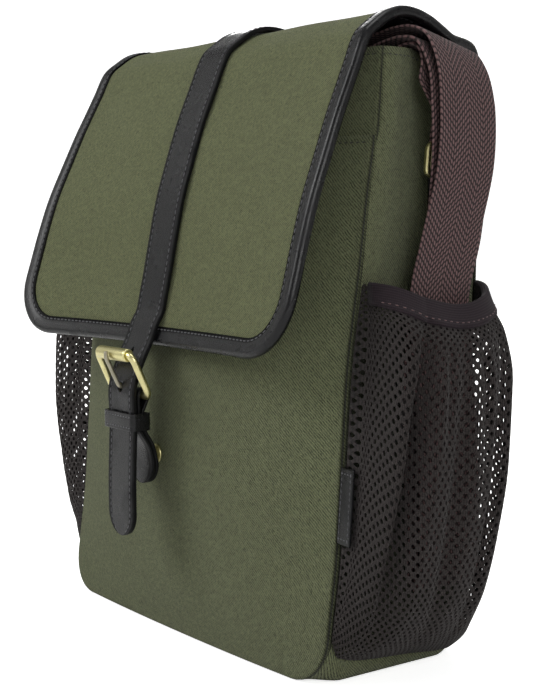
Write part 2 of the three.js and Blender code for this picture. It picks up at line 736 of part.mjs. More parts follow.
function strapKeeperGeometry() {
  const frontInner = strapOverBillet - frontStrap.thickness / 2 - 2 * clearance;
  const backInner = billetFront + 1.6 + billetPitch + billet.thickness / 2 + clearance;
  const halfInside = frontStrap.width / 2 + keeper.sideRoom;
  const outline = (grow, radius) =>
    roundedLoop(
      halfInside + grow,
      (backInner - frontInner) / 2 + grow,
      radius,
      3,
      (x, v) => new THREE.Vector2(x, v),
    );
  const shape = new THREE.Shape(outline(keeper.thickness, 1 + keeper.thickness));
  shape.holes.push(new THREE.Path(outline(0, 1).reverse()));
  const geometry = new THREE.ExtrudeGeometry(shape, { depth: keeper.height, bevelEnabled: false, steps: 1 });
  geometry.translate(0, (backInner + frontInner) / 2, heelBar.z - 18);
  return geometry;
}

// A turned press stud part whose axis lies along Y; profile rows are { radius, y }.
function turnedAlongY(profile) {
  const geometry = new THREE.LatheGeometry(
    profile.map(({ radius, y }) => new THREE.Vector2(radius, y)),
    16,
  );
  geometry.translate(0, 0, snapZ);
  return geometry;
}

const snapBack = billetFront + 8.6 + billetPitch + billet.thickness / 2 + clearance;
const snapFront = frontFace(0, snapZ) - clearance;
const snapMiddle = (snapBack + snapFront) / 2;

function snapSocketGeometry() {
  return turnedAlongY([
    { radius: 0, y: snapBack },
    { radius: snap.socketRadius - 1, y: snapBack },
    { radius: snap.socketRadius, y: snapBack + 0.8 },
    { radius: snap.socketRadius, y: snapMiddle - clearance - 0.6 },
    { radius: snap.socketRadius - 0.8, y: snapMiddle - clearance / 2 },
    { radius: 0, y: snapMiddle - clearance / 2 },
  ]);
}

function snapStudGeometry() {
  return turnedAlongY([
    { radius: 0, y: snapMiddle + clearance / 2 },
    { radius: snap.studRadius * 0.55, y: snapMiddle + clearance / 2 },
    { radius: snap.studRadius * 0.55, y: snapMiddle + 1 },
    { radius: snap.studRadius, y: snapFront - 1 },
    { radius: snap.studRadius, y: snapFront },
    { radius: 0, y: snapFront },
  ]);
}

// Net pockets with their elastic rims

// The net's outer face on the right side: across from the front seam to the back seam, up from its
// bottom seam to its rim. Its front corner bulges forward below the rim.
function netPoint(across, up) {
  const bottom = bag.height * netBottom(across);
  const top = pocket.rimHeight - pocket.rimDip * netDip(across);
  const z = THREE.MathUtils.lerp(bottom, top, up);
  const y = THREE.MathUtils.lerp(frontEdge(z) + pocket.seam, backEdge(z) - 1, across);
  const off = Math.abs(2 * across - 1);
  const power = netBoxiness(up) * (across < 0.5 ? 1.2 : 0.8);
  const bulge = Math.max(1 - off ** power, 0) ** (1 / power);
  let fold = 0;
  for (const { top: foldTop, bottom: foldBottom, depth, width } of netFolds) {
    const distance = (across - THREE.MathUtils.lerp(foldBottom, foldTop, up)) / width;
    fold += depth * Math.exp(-(distance ** 2)) * Math.sin(Math.PI * Math.min(up * 1.05, 1)) ** 0.5;
  }
  const out = pocket.out * netOut(up) * bulge * (1 - fold);
  const cornerRoom = 1.4 * Math.max(1 - z / bag.cornerRadius, 0);
  const wallX = Math.max(sideFaceX(y, z), panelHalf(z, 0));
  const seat = wallX + clearance + cornerRoom + pocket.thickness;
  const bulgeShare = Math.max(2 * netOut(up) - 1, 0) * (1 - across) * Math.sqrt(Math.sin(Math.PI * across));
  return new THREE.Vector3(seat + out, y - pocket.forward * bulgeShare, z);
}

// The outward direction of the net at a point.
function netNormal(across, up) {
  const reach = 0.01;
  const low = Math.max(up - reach, 0);
  const high = Math.min(up + reach, 1);
  const near = Math.max(across - reach, 0);
  const far = Math.min(across + reach, 1);
  const along = netPoint(across, high).sub(netPoint(across, low));
  const over = netPoint(far, up).sub(netPoint(near, up));
  return over.cross(along).normalize();
}

// Shares across the net, closer together near its two seams where it turns.
const netColumns = 18;
const rimShare = elastic.height / (pocket.rimHeight - pocket.rimDip / 2 - bag.height * netBottom(0.5));
function netAcross(column) {
  const angle = (Math.PI * column) / netColumns;
  return 0.5 - 0.5 * Math.cos(angle) * (1 - 0.12 * Math.sin(angle));
}

// Direction in which the wall's thickness goes: sideways at the foot, square to the net elsewhere.
function netInward(across, up) {
  const footShare = THREE.MathUtils.smoothstep(up, 0, 0.1);
  const sideways = new THREE.Vector3(1, 0, 0);
  return netNormal(across, up).lerp(sideways, 1 - footShare).normalize().negate();
}

// A point in the net's wall at a depth; column may lie between two of the net's own columns.
function netWallPoint(column, up, depth) {
  const before = Math.floor(column);
  const after = Math.min(before + 1, netColumns);
  const corner = (j) => netPoint(netAcross(j), up).addScaledVector(netInward(netAcross(j), up), depth);
  return corner(before).lerp(corner(after), column - before);
}

function sidePocketGeometry() {
  const rows = 12;
  const upAt = (i) => (i < rows ? (1 - rimShare) * (i / (rows - 1)) ** 1.15 : 1);
  const face = (depth) => (i, j) => netWallPoint(j, upAt(i), depth);
  return wallGeometry(rows, netColumns, face(0), face(pocket.thickness));
}

function pocketBindingGeometry() {
  const section = tapeSection(elastic.height, pocket.thickness, elastic.thickness, elastic.thickness);
  const endColumn = 0.04;
  const place = (i, corner) => {
    const column = THREE.MathUtils.clamp(i, endColumn, netColumns - endColumn);
    const up = Math.min(1 + (corner.x / elastic.height) * rimShare, 1);
    const point = netWallPoint(column, up, pocket.thickness / 2 - corner.y);
    return point.add(new THREE.Vector3(0, 0, Math.max(corner.x, 0)));
  };
  return sweptGeometry(netColumns + 1, section, place, false);
}

// The right side's geometry turned over to the left.
function mirroredX(geometry) {
  const mirrored = geometry.clone().scale(-1, 1, 1);
  const order = mirrored.index.array;
  for (let i = 0; i < order.length; i += 3) [order[i + 1], order[i + 2]] = [order[i + 2], order[i + 1]];
  mirrored.computeVertexNormals();
  return mirrored;
}

// A small leather tab sewn into the right front seam, ahead of the net.
function labelTabGeometry() {
  const rows = 4;
  const columns = 3;
  const face = (depth) => (i, j) => {
    const z = label.bottom + (label.length * i) / rows;
    const reach = (label.reach * j) / columns;
    const x = halfWidth + clearance + reach;
    return new THREE.Vector3(x, frontEdge(z) + 0.2 - 0.15 * reach + depth, z);
  };
  return wallGeometry(rows, columns, face(0), face(label.thickness));
}

// Strap fittings, drawn facing -Y round the middle of the ring's straight bar

const tabFold = ring.wire + clearance + ringTab.thickness / 2;
const tabPitch = ringTab.thickness + 0.35;
const ringDepth = 3 * clearance + ringTab.thickness + ring.wire;

function ringTabGeometry() {
  const low = -ringTab.length;
  const join = tabFold - tabPitch;
  const front = [
    { y: join, z: low },
    { y: join, z: low * 0.75 },
    { y: join, z: low * 0.5 },
    { y: join * 0.3 - tabFold * 0.7, z: low * 0.22 },
    { y: -tabFold, z: low * 0.06 },
  ];
  const line = foldedStripLine(front, { y: 0, z: 0 }, tabFold, tabPitch, 3);
  return bentStrip(line, ringTab.width, ringTab.thickness, {});
}

// A point of the leaning ring: x across, up from its straight bar.
const ringPoint = (x, up) => new THREE.Vector3(x, -up * Math.sin(ringPlace.lean), up * Math.cos(ringPlace.lean));

function ringGeometry() {
  const middle = ring.height / 2;
  const loop = roundedLoop(ring.width / 2, middle, ring.cornerRadius, 3, (x, v) => ringPoint(x, middle + v));
  const normal = new THREE.Vector3(0, -Math.cos(ringPlace.lean), -Math.sin(ringPlace.lean));
  return wireGeometry(loop, normal, ovalSection(6, ring.wire), true);
}

// Shoulder strap

// How far the ring's upper bar stands off the side wall, and its level: the webbing goes round it.
const ringY = ringPlace.depthShare * bag.baseDepth;
const ringBarZ = bag.height - ringPlace.barDrop;
const tabSeats = [-0.5, 0, 0.5].map((share) => sideFaceX(ringY + share * ringTab.width, ringBarZ));
const fittingX = Math.max(...tabSeats) + ringDepth;
const ringTop = ringPoint(0, ring.height);
const barX = fittingX - ringTop.y;
const barZ = ringBarZ + ringTop.z;
const sewnRadius = ring.wire + clearance + webbing.thickness / 2;
const rollAngle = Math.atan2(mouth.hemDip, 0.4 * bag.baseDepth);

// The strap's route. level is a height above the bag's hem as a share of the flap's rise; x is a share of
// half the bag's width, out adds shares of the pocket's reach; y is a share of the base depth.
const overHem = [
  { x: 1, out: 0.115, level: -0.9, y: 0.28, roll: 0.3 },
  { x: 1, out: 0.085, level: -0.4, y: 0.29, roll: 0.8 },
  { x: 1, out: 0.02, level: -0.11, y: 0.29, roll: 1 },
  { x: 0.96, out: 0, level: -0.09, y: 0.28, roll: 1 },
  { x: 0.88, out: 0, level: -0.3, y: 0.26, roll: 0.7 },
];
const lowerRun = [
  { x: 0.6, out: 0, level: -0.75, y: 0.2, roll: 0.2 },
  { x: 0.2, out: 0, level: -0.95, y: 0.17, roll: 0 },
  { x: -0.3, out: 0, level: -1, y: 0.17, roll: 0 },
  { x: -0.68, out: 0, level: -0.95, y: 0.17, roll: 0 },
];
const mouthTurn = [
  { x: -0.73, out: 0, level: -0.9, y: 0.17, roll: 0 },
  { x: -0.748, out: 0, level: -0.72, y: 0.17, roll: 0 },
  { x: -0.73, out: 0, level: -0.54, y: 0.17, roll: 0 },
];
const middleRun = [
  { x: -0.3, out: 0, level: -0.62, y: 0.17, roll: 0 },
  { x: 0.2, out: 0, level: -0.55, y: 0.18, roll: 0 },
  { x: 0.6, out: 0, level: -0.3, y: 0.2, roll: 0.3 },
  { x: 0.88, out: 0, level: 0.02, y: 0.22, roll: 0.9 },
  { x: 0.97, out: 0, level: 0.1, y: 0.24, roll: 1 },
];
const innerFall = [
  { x: 1, out: 0.07, level: 0.02, y: 0.26, roll: 1 },
  { x: 1, out: 0.19, level: -0.6, y: 0.285, roll: 0.8 },
  { x: 1, out: 0.24, level: -1.6, y: 0.3, roll: 0.4 },
  { x: 1, out: 0.24, level: -3.2, y: 0.31, roll: 0.2 },
  { x: 1, out: 0.19, level: -5.2, y: 0.29, roll: 0.1 },
  { x: 1, out: 0.16, level: -6.8, y: 0.22, roll: 0 },
  { x: 1, out: 0.17, level: -9, y: 0.17, roll: 0 },
  { x: 1, out: 0.2, level: -12, y: 0.16, roll: 0 },
  { x: 1, out: 0.22, level: -14.2, y: 0.16, roll: 0 },
];
const pocketTurn = [
  { x: 1, out: 0.25, level: -14.8, y: 0.16, roll: 0 },
  { x: 1, out: 0.32, level: -15.05, y: 0.16, roll: 0 },
  { x: 1, out: 0.39, level: -14.8, y: 0.16, roll: 0 },
];
const outerRise = [
  { x: 1, out: 0.42, level: -14, y: 0.16, roll: 0 },
  { x: 1, out: 0.4, level: -11.5, y: 0.16, roll: 0 },
  { x: 1, out: 0.34, level: -8.8, y: 0.15, roll: 0 },
  { x: 1, out: 0.285, level: -6.8, y: 0.15, roll: -0.05 },
  { x: 1, out: 0.3, level: -5.2, y: 0.22, roll: -0.1 },
  { x: 1, out: 0.345, level: -3.2, y: 0.3, roll: -0.2 },
  { x: 1, out: 0.345, level: -1.6, y: 0.31, roll: -0.35 },
  { x: 1, out: 0.29, level: -0.5, y: 0.295, roll: -0.8 },
  { x: 1, out: 0.15, level: 0.16, y: 0.28, roll: -1.2 },
  { x: 0.99, out: 0, level: 0.32, y: 0.265, roll: -1.35 },
  { x: 0.9, out: 0, level: 0.31, y: 0.25, roll: -1.3 },
];
const upperRun = [
  { x: 0.6, out: 0, level: 0.05, y: 0.2, roll: -0.4 },
  { x: 0.2, out: 0, level: -0.12, y: 0.18, roll: 0 },
  { x: -0.3, out: 0, level: -0.16, y: 0.18, roll: 0 },
  { x: -0.65, out: 0, level: -0.1, y: 0.21, roll: -0.3 },
];

// A row of the route as a point with its roll; side is 1 on the right and -1 on the left.
function routePoint({ x, out, level, y, roll }, side) {
  return {
    point: new THREE.Vector3(
      side * (x * halfWidth + out * pocket.out),
      y * bag.baseDepth,
      bag.height + level * flap.rise,
    ),
    roll: roll * rollAngle,
    width: webbing.width,
  };
}

// The sewn end of the strap round its ring, from the short layer's end to the long layer.
function sewnEnd(side) {
  const place = (out, z) => ({
    point: new THREE.Vector3(side * (barX + out), ringY, z),
    roll: 0,
    width: webbing.sewnWidth,
  });
  const end = [
    place(sewnRadius - webbing.thickness - 0.9, barZ + webbing.sewnLength),
    place(-sewnRadius * 0.3, barZ + webbing.sewnLength * 0.55),
    place(-sewnRadius, barZ + sewnRadius * 0.6),
  ];
  for (let i = 0; i <= 6; i++) {
    const angle = Math.PI + (i / 6) * Math.PI;
    end.push(place(sewnRadius * Math.cos(angle), barZ + sewnRadius * Math.sin(angle)));
  }
  end.push(place(sewnRadius + 0.2, barZ + webbing.sewnLength * 0.55));
  return end;
}

function shoulderStrapStations() {
  const hemRight = overHem.map((row) => routePoint({ ...row, roll: -row.roll }, 1));
  const hemLeft = overHem.map((row) => routePoint({ ...row, roll: -row.roll }, -1)).reverse();
  const inMouth = [...lowerRun, ...mouthTurn, ...middleRun];
  const rest = [...inMouth, ...innerFall, ...pocketTurn, ...outerRise, ...upperRun];
  const keys = [
    ...sewnEnd(1),
    ...hemRight,
    ...rest.map((row) => routePoint(row, 1)),
    ...hemLeft,
    ...sewnEnd(-1).reverse(),
  ];
  const curve = new THREE.CatmullRomCurve3(keys.map(({ point }) => point), false, "centripetal");
  const stations = [];
  const spans = keys.length - 1;
  for (let i = 0; i < spans; i++) {
    const length = keys[i].point.distanceTo(keys[i + 1].point);
    const steps = length > 60 ? 4 : length > 6 ? 2 : 1;
    for (let n = 0; n < steps; n++) {
      const share = n / steps;
      stations.push({
        point: curve.getPoint((i + share) / spans),
        roll: THREE.MathUtils.lerp(keys[i].roll, keys[i + 1].roll, share),
        width: THREE.MathUtils.lerp(keys[i].width, keys[i + 1].width, share),
      });
    }
  }
  stations.push({ ...keys[spans] });
  return stations;
}

function shoulderStrapGeometry() {
  const stations = shoulderStrapStations();
  const thin = webbing.thickness / 2;
  const section = [
    [-0.5, -thin],
    [0.5, -thin],
    [0.5, thin],
    [-0.5, thin],
  ].map(([share, y]) => new THREE.Vector2(share, y));
  const place = (i, corner) => {
    const before = stations[Math.max(i - 1, 0)].point;
    const after = stations[Math.min(i + 1, stations.length - 1)].point;
    const run = Math.hypot(after.x - before.x, after.z - before.z);
    const normal = new THREE.Vector3((before.z - after.z) / run, 0, (after.x - before.x) / run);
    const { point, roll, width } = stations[i];
    const across = new THREE.Vector3(0, Math.cos(roll), 0).addScaledVector(normal, -Math.sin(roll));
    const face = normal.clone().multiplyScalar(Math.cos(roll)).add(new THREE.Vector3(0, Math.sin(roll), 0));
    return point.clone().addScaledVector(across, corner.x * width).addScaledVector(face, corner.y);
  };
  return sweptGeometry(stations.length, section, place, false);
}

// Materials and assembly

const finishes = {
  canvas: { color: 0x3f4630, roughness: 0.95, metalness: 0 },
  leather: { color: 0x201f22, roughness: 0.45, metalness: 0 },
  net: { color: 0x211c1b, roughness: 0.9, metalness: 0 },
  elastic: { color: 0x231b20, roughness: 0.9, metalness: 0 },
  webbing: { color: 0x4a3434, roughness: 0.8, metalness: 0 },
  brass: { color: 0xb7a463, roughness: 0.3, metalness: 1 },
};

function meshOf(name, geometry, finish) {
  const mesh = new THREE.Mesh(geometry, new THREE.MeshStandardMaterial(finishes[finish]));
  mesh.name = name;
  return mesh;
}

// The ring and its leather tab on one side of the bag; side is 1 on the right.
function strapFittings(side) {
  const group = new THREE.Group();
  const suffix = side > 0 ? "right" : "left";
  group.position.set(side * fittingX, ringY, ringBarZ);
  group.rotation.z = (side * Math.PI) / 2;
  group.add(meshOf(`ring_tab_${suffix}`, ringTabGeometry(), "leather"));
  group.add(meshOf(`ring_${suffix}`, ringGeometry(), "brass"));
  return group;
}

function bodyParts() {
  const group = new THREE.Group();
  const innerFront = (x, z) => frontFace(x, z) + bag.canvas + slipPocket.layerGap;
  group.add(meshOf("front_pocket", panelGeometry(slipPocket.height, frontFace), "canvas"));
  group.add(meshOf("front_panel", panelGeometry(bag.height, innerFront), "canvas"));
  group.add(meshOf("back_panel", panelGeometry(bag.height - mouth.backDrop, backFace), "canvas"));
  group.add(meshOf("side_wall", sideWallGeometry(), "canvas"));
  group.add(meshOf("label_tab", labelTabGeometry(), "leather"));
  return group;
}

function flapParts() {
  const group = new THREE.Group();
  group.add(meshOf("flap", flapGeometry(), "canvas"));
  group.add(meshOf("flap_binding", flapBindingGeometry(), "leather"));
  group.add(meshOf("front_strap", frontStrapGeometry(), "leather"));
  return group;
}

function fastening() {
  const group = new THREE.Group();
  group.add(meshOf("buckle_frame", buckleFrameGeometry(), "brass"));
  const roller = meshOf("buckle_roller", buckleRollerGeometry(), "brass");
  roller.position.set(0, rollerBar.y, rollerBar.z);
  roller.rotation.z = Math.PI / 2;
  group.add(roller);
  group.add(meshOf("buckle_prong", buckleProngGeometry(), "brass"));
  group.add(meshOf("strap_keeper", strapKeeperGeometry(), "leather"));
  group.add(meshOf("snap_tab", snapTabGeometry(), "leather"));
  group.add(meshOf("snap_socket", snapSocketGeometry(), "brass"));
  group.add(meshOf("snap_stud", snapStudGeometry(), "brass"));
  return group;
}

function netPockets() {
  const group = new THREE.Group();
  const net = sidePocketGeometry();
  const rim = pocketBindingGeometry();
  group.add(meshOf("side_pocket_right", net, "net"));
  group.add(meshOf("pocket_binding_right", rim, "elastic"));
  group.add(meshOf("side_pocket_left", mirroredX(net), "net"));
  group.add(meshOf("pocket_binding_left", mirroredX(rim), "elastic"));
  return group;
}

const dogTrainingBag = new THREE.Group();
dogTrainingBag.add(bodyParts(), flapParts(), fastening(), netPockets());
dogTrainingBag.add(strapFittings(1), strapFittings(-1));
dogTrainingBag.add(meshOf("shoulder_strap", shoulderStrapGeometry(), "webbing"));

export default dogTrainingBag;
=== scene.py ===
"""Dog training bag: canvas, leather, net, webbing and brass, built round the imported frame.

Sizes are in millimetres until a piece's mesh is made, and the front of the bag faces -Y.
"""

import math

import bmesh
import bpy
import numpy as np
from mathutils import Matrix, Vector


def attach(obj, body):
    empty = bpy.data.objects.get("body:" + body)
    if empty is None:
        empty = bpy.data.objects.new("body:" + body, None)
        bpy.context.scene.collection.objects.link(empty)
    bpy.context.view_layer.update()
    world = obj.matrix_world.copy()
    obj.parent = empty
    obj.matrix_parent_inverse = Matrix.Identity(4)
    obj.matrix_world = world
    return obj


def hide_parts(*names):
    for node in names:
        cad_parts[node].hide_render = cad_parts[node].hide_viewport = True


bl_info = {
    "name": "Dog Training Bag",
    "version": (1, 0, 0),
    "blender": (4, 5, 0),
    "location": "3D View > Sidebar > Training Bag",
    "description": "Dresses a canvas training bag with its leather, net, webbing and brass",
    "category": "Add Mesh",
}

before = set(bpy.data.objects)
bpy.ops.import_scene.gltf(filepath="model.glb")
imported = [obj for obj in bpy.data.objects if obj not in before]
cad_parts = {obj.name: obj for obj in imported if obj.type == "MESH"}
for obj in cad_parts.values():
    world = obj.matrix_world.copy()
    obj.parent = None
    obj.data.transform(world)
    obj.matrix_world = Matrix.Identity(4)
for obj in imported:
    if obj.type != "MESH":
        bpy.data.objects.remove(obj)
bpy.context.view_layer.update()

# The bag's own sizes, in millimetres
MM = 0.001
MERGE = 0.02 * MM
CLEARANCE = 0.3
WIDTH, HEIGHT, DEPTH = 240.0, 300.0, 92.0
HALF = WIDTH / 2
SEAM_RADIUS, BASE_RADIUS = 22.0, 8.0
CANVAS = 1.8
HEM_DIP, BACK_DROP = 7.5, 5.0
SLIP_HEIGHT, LAYER_GAP = 258.8, 0.5
WALL_STACK = 2 * CANVAS + LAYER_GAP
TURNED = CANVAS - 0.2
STITCH_SINK = 0.1
FLAP_TOP, FLAP_HEM, FLAP_RISE, FLAP_DROP = 236.0, 246.0, 17.0, 142.5
FLAP_CORNER, FLAP_THICK = 30.0, 2.4
CURL_EDGES, CURL_SKEW, FLAP_TUCK = 11.0, 3.5, 6.0
BINDING, BINDING_SEAM, BINDING_OVER = 8.0, 6.3, 2.2
STRAP_WIDTH, STRAP_THICK, STRAP_START = 25.0, 2.6, 6.0
BUCKLE_HALF, BAR, ROLLER, BUCKLE_CORNER = 17.5, 1.9, 3.4, 4.0
PRONG, PRONG_SLOT = 1.2, 5.2
BILLET, BILLET_TIP = 1.6, 83.5
KEEPER_HEIGHT, KEEPER_THICK, KEEPER_ROOM = 9.0, 1.5, 0.6
SNAP_Z, SOCKET, STUD = 98.0, 6.5, 5.0
POCKET_OUT, POCKET_FORWARD, POCKET_SEAM = 50.0, 22.0, 2.6
POCKET_THICK, RIM_HEIGHT, RIM_DIP = 1.2, 190.0, 11.0
ELASTIC, ELASTIC_THICK = 10.0, 1.0
LABEL_LENGTH, LABEL_REACH, LABEL_THICK, LABEL_BOTTOM = 36.0, 11.0, 1.5, 69.0
RING_WIRE, RING_WIDTH, RING_HEIGHT, RING_CORNER = 1.75, 29.0, 14.0, 2.6
RING_BAR, RING_LEAN, RING_ACROSS = 241.0, 0.1, 30.0
TAB_WIDTH, TAB_THICK, TAB_LENGTH = 22.0, 1.6, 18.0
WEBBING, WEBBING_THICK, SEWN_WIDTH, SEWN_LENGTH = 38.0, 1.5, 23.0, 20.0
SIDES = ((1, "right"), (-1, "left"))
RIGHT, FRONT = np.array([1.0, 0, 0]), np.array([0, -1.0, 0])


# Curves through short tables


def monotone(keys, values):
    """A function on a smooth curve through rows, with no overshoot."""
    slopes = np.diff(values) / np.diff(keys)
    tangents = np.empty(len(keys))
    tangents[0], tangents[-1] = slopes[0], slopes[-1]
    product, total = slopes[:-1] * slopes[1:], slopes[:-1] + slopes[1:]
    rising = product > 0
    tangents[1:-1] = np.where(rising, 2 * product / np.where(rising, total, 1), 0)

    def at(share):
        share = np.clip(share, keys[0], keys[-1])
        i = np.clip(np.searchsorted(keys, share) - 1, 0, len(keys) - 2)
        span = keys[i + 1] - keys[i]
        t = (share - keys[i]) / span
        return (
            values[i] * (2 * t**3 - 3 * t**2 + 1)
            + tangents[i] * span * (t**3 - 2 * t**2 + t)
            + values[i + 1] * (3 * t**2 - 2 * t**3)
            + tangents[i + 1] * span * (t**3 - t**2)
        )

    return at


def columns(*rows):
    """A function of a table's first column for each of its other columns."""
    table = np.array(rows, float)
    return [monotone(table[:, 0], table[:, k]) for k in range(1, table.shape[1])]


def smoothstep(x, low, high):
    t = np.clip((np.asarray(x, float) - low) / (high - low), 0, 1)
    return t * t * (3 - 2 * t)


def smooth_path(points, per_span):
    """Points on a smooth curve through the given ones, and the place of each in the list."""
    p = np.array(points, float)
    p = np.vstack([2 * p[0] - p[1], p, 2 * p[-1] - p[-2]])
    path, place = [], []
    for i in range(1, len(p) - 2):
        p0, p1, p2, p3 = p[i - 1 : i + 3]
        d0, d1, d2 = (max(np.linalg.norm(step), 1e-8) ** 0.5 for step in (p1 - p0, p2 - p1, p3 - p2))
        start = ((p1 - p0) / d0 - (p2 - p0) / (d0 + d1) + (p2 - p1) / d1) * d1
        end = ((p2 - p1) / d1 - (p3 - p1) / (d1 + d2) + (p3 - p2) / d2) * d1
        for n in range(per_span):
            t = n / per_span
            bend, twist = 3 * (p2 - p1) - 2 * start - end, 2 * (p1 - p2) + start + end
            path.append(p1 + start * t + bend * t**2 + twist * t**3)
            place.append(i - 1 + t)
    path.append(p[-2])
    place.append(len(p) - 3)
    return np.array(path), np.array(place, float)


def lengths_along(path):
    return np.concatenate([[0], np.cumsum(np.linalg.norm(np.diff(path, axis=0), axis=1))])


def lengths_around(section):
    return lengths_along(np.vstack([section, section[:1]]))


def even_path(path, step):
    """The path again, with points a step apart."""
    along = lengths_along(path)
    wanted = np.linspace(0, along[-1], max(int(round(along[-1] / step)), 1) + 1)
    return np.stack([np.interp(wanted, along, path[:, k]) for k in range(path.shape[1])], axis=1)


def unit(vectors):
    return vectors / np.maximum(np.linalg.norm(vectors, axis=-1, keepdims=True), 1e-9)


# up: front and back seams as shares of the depth, and how far the front swells
front_share, back_share, crown_share = columns(
    (0, -0.52, 0.48, 0.033),
    (0.1, -0.473, 0.487, 0.13),
    (0.2, -0.427, 0.496, 0.21),
    (0.33, -0.392, 0.51, 0.275),
    (0.5, -0.35, 0.53, 0.29),
    (0.65, -0.275, 0.55, 0.28),
    (0.77, -0.222, 0.555, 0.25),
    (0.86, -0.177, 0.55, 0.19),
    (1, -0.142, 0.543, 0.09),
)
# across the side wall: how far its fold pushes out; up: how strongly
(fold_push,) = columns((0, 0), (0.13, 1.2), (0.3, -1.6), (0.5, -4.6), (0.75, -4), (0.92, 0), (1, 0))
(fold_strength,) = columns((0, 0), (0.15, 0), (0.5, 0.8), (0.9, 1), (1, 0.7))
# up the net: how far it stands out and how boxy its section is
net_out, net_boxiness = columns(
    (0, 0, 2.2),
    (0.05, 0.3, 2.4),
    (0.11, 0.5, 2.6),
    (0.2, 0.7, 2.8),
    (0.36, 0.87, 3),
    (0.56, 0.98, 3.2),
    (0.78, 1, 3.2),
    (0.9, 0.86, 3),
    (0.96, 0.62, 2.7),
    (1, 0.5, 2.5),
)
# across the net: its bottom seam and the dip of its rim
net_bottom, net_dip = columns(
    (0, 0.074, 0),
    (0.06, 0.047, 0.15),
    (0.25, 0.035, 0.65),
    (0.55, 0.028, 1),
    (0.85, 0.02, 0.65),
    (1, 0.02, 0.15),
)
# the net's lengthwise folds: top, bottom, depth and width
NET_FOLDS = ((0.27, 0.1, 0.34, 0.05), (0.52, 0.42, 0.1, 0.05), (0.8, 0.7, 0.16, 0.045))
# short gathers that hang from the rim: across, depth and width
NET_GATHERS = (
    (0.14, 0.05, 0.018),
    (0.22, 0.07, 0.02),
    (0.38, 0.06, 0.022),
    (0.62, 0.07, 0.02),
    (0.71, 0.05, 0.018),
)

# The flap's middle line: y as a share of the depth, rise over the hem and drop below it
FLAP_ROWS = (
    (0.607, 0, 0.225),
    (0.609, 0, 0.11),
    (0.604, 0, 0.021),
    (0.59, 0.03, 0),
    (0.565, 0.19, 0),
    (0.522, 0.27, 0),
    (0.462, 0.32, 0),
    (0.408, 0.37, 0),
    (0.326, 0.58, 0),
    (0.24, 0.8, 0),
    (0.14, 0.965, 0),
    (0.043, 1, 0),
    (-0.054, 0.86, 0),
    (-0.135, 0.58, 0),
    (-0.207, 0.26, 0),
    (-0.277, 0, 0.063),
    (-0.321, 0, 0.127),
    (-0.386, 0, 0.225),
    (-0.451, 0, 0.344),
    (-0.525, 0, 0.491),
    (-0.576, 0, 0.632),
    (-0.612, 0, 0.744),
    (-0.647, 0, 0.842),
    (-0.69, 0, 0.947),
    (-0.723, 0, 1),
)


# The bag's surfaces


def front_edge(z):
    return DEPTH * front_share(z / HEIGHT)


def back_edge(z):
    return DEPTH * back_share(z / HEIGHT)


def front_face(x, z):
    return front_edge(z) - DEPTH * crown_share(z / HEIGHT) * (1 - np.abs(x / HALF) ** 2.2)


def back_face(x, z):
    return back_edge(z) + 3 * np.sin(np.pi * z / HEIGHT) ** 2 * (1 - (x / HALF) ** 2)


def panel_half(z, inset=0.0):
    """Half a panel's width, cut a little inside the side wall's round corner."""
    low = np.maximum((SEAM_RADIUS - inset) ** 2 - np.maximum(SEAM_RADIUS - z, 0) ** 2, 0)
    return np.where(z >= SEAM_RADIUS, HALF - inset, HALF - SEAM_RADIUS + np.sqrt(low))


def hem_level(y):
    return HEIGHT - HEM_DIP * np.clip((y - 0.09 * DEPTH) / (0.4 * DEPTH), 0, 1)


def wall_radius(across):
    away = smoothstep(np.minimum(across, 1 - across), 0, 0.17)
    return SEAM_RADIUS + (BASE_RADIUS - SEAM_RADIUS) * away


def side_push(z, across):
    return fold_push(across) * fold_strength(z / HEIGHT)


def side_face_x(y, z):
    """The side wall's outer x on the right, at a depth and a height."""
    front = front_edge(z) + WALL_STACK + CLEARANCE
    share = np.clip((y - front) / (back_edge(z) - CLEARANCE - front), 0, 1)
    radius = wall_radius(share)
    return HALF - radius + np.sqrt(radius**2 - np.maximum(radius - z, 0) ** 2) + side_push(z, share)


def flap_line(reach=20.0):
    """The flap's middle line with straight ends past both edges, and the length at each point."""
    rows = [(y * DEPTH, HEIGHT + rise * FLAP_RISE - drop * FLAP_DROP) for y, rise, drop in FLAP_ROWS]
    line, _ = smooth_path(rows, 24)
    before = line[0] + unit(line[0] - line[1]) * reach
    after = line[-1] + unit(line[-1] - line[-2]) * reach
    line = np.vstack([before, line, after])
    return line, lengths_along(line) - reach


FLAP_LINE, FLAP_ALONG = flap_line()
FLAP_LENGTH = FLAP_ALONG[-2]


def flap_point(x, length):
    """The flap's middle surface: x across, length along from its seam on the back."""
    x, length = np.broadcast_arrays(np.asarray(x, float), np.asarray(length, float))
    share = x / (FLAP_HEM / 2)
    hang = smoothstep(length / FLAP_LENGTH, 0.42, 1)
    forward = hang * (CURL_EDGES * share**2 - CURL_SKEW * share * np.abs(share))
    y, z = (np.interp(length, FLAP_ALONG, FLAP_LINE[:, k]) for k in (0, 1))
    return np.stack([x, y - forward, z], axis=-1)


def flap_normal(x, length, reach=3):
    along = flap_point(x, np.add(length, reach)) - flap_point(x, np.subtract(length, reach))
    across = flap_point(np.add(x, reach), length) - flap_point(np.subtract(x, reach), length)
    return -unit(np.cross(across, along))


def flap_half(length):
    taper = smoothstep(length / FLAP_LENGTH, 0.2, 0.75)
    past = np.maximum(length - (FLAP_LENGTH - FLAP_CORNER), 0)
    half = (FLAP_TOP + (FLAP_HEM - FLAP_TOP) * taper) / 2 - FLAP_TUCK * (1 - smoothstep(length, 0, 75))
    return half - FLAP_CORNER + np.sqrt(np.maximum(FLAP_CORNER**2 - past**2, 0))


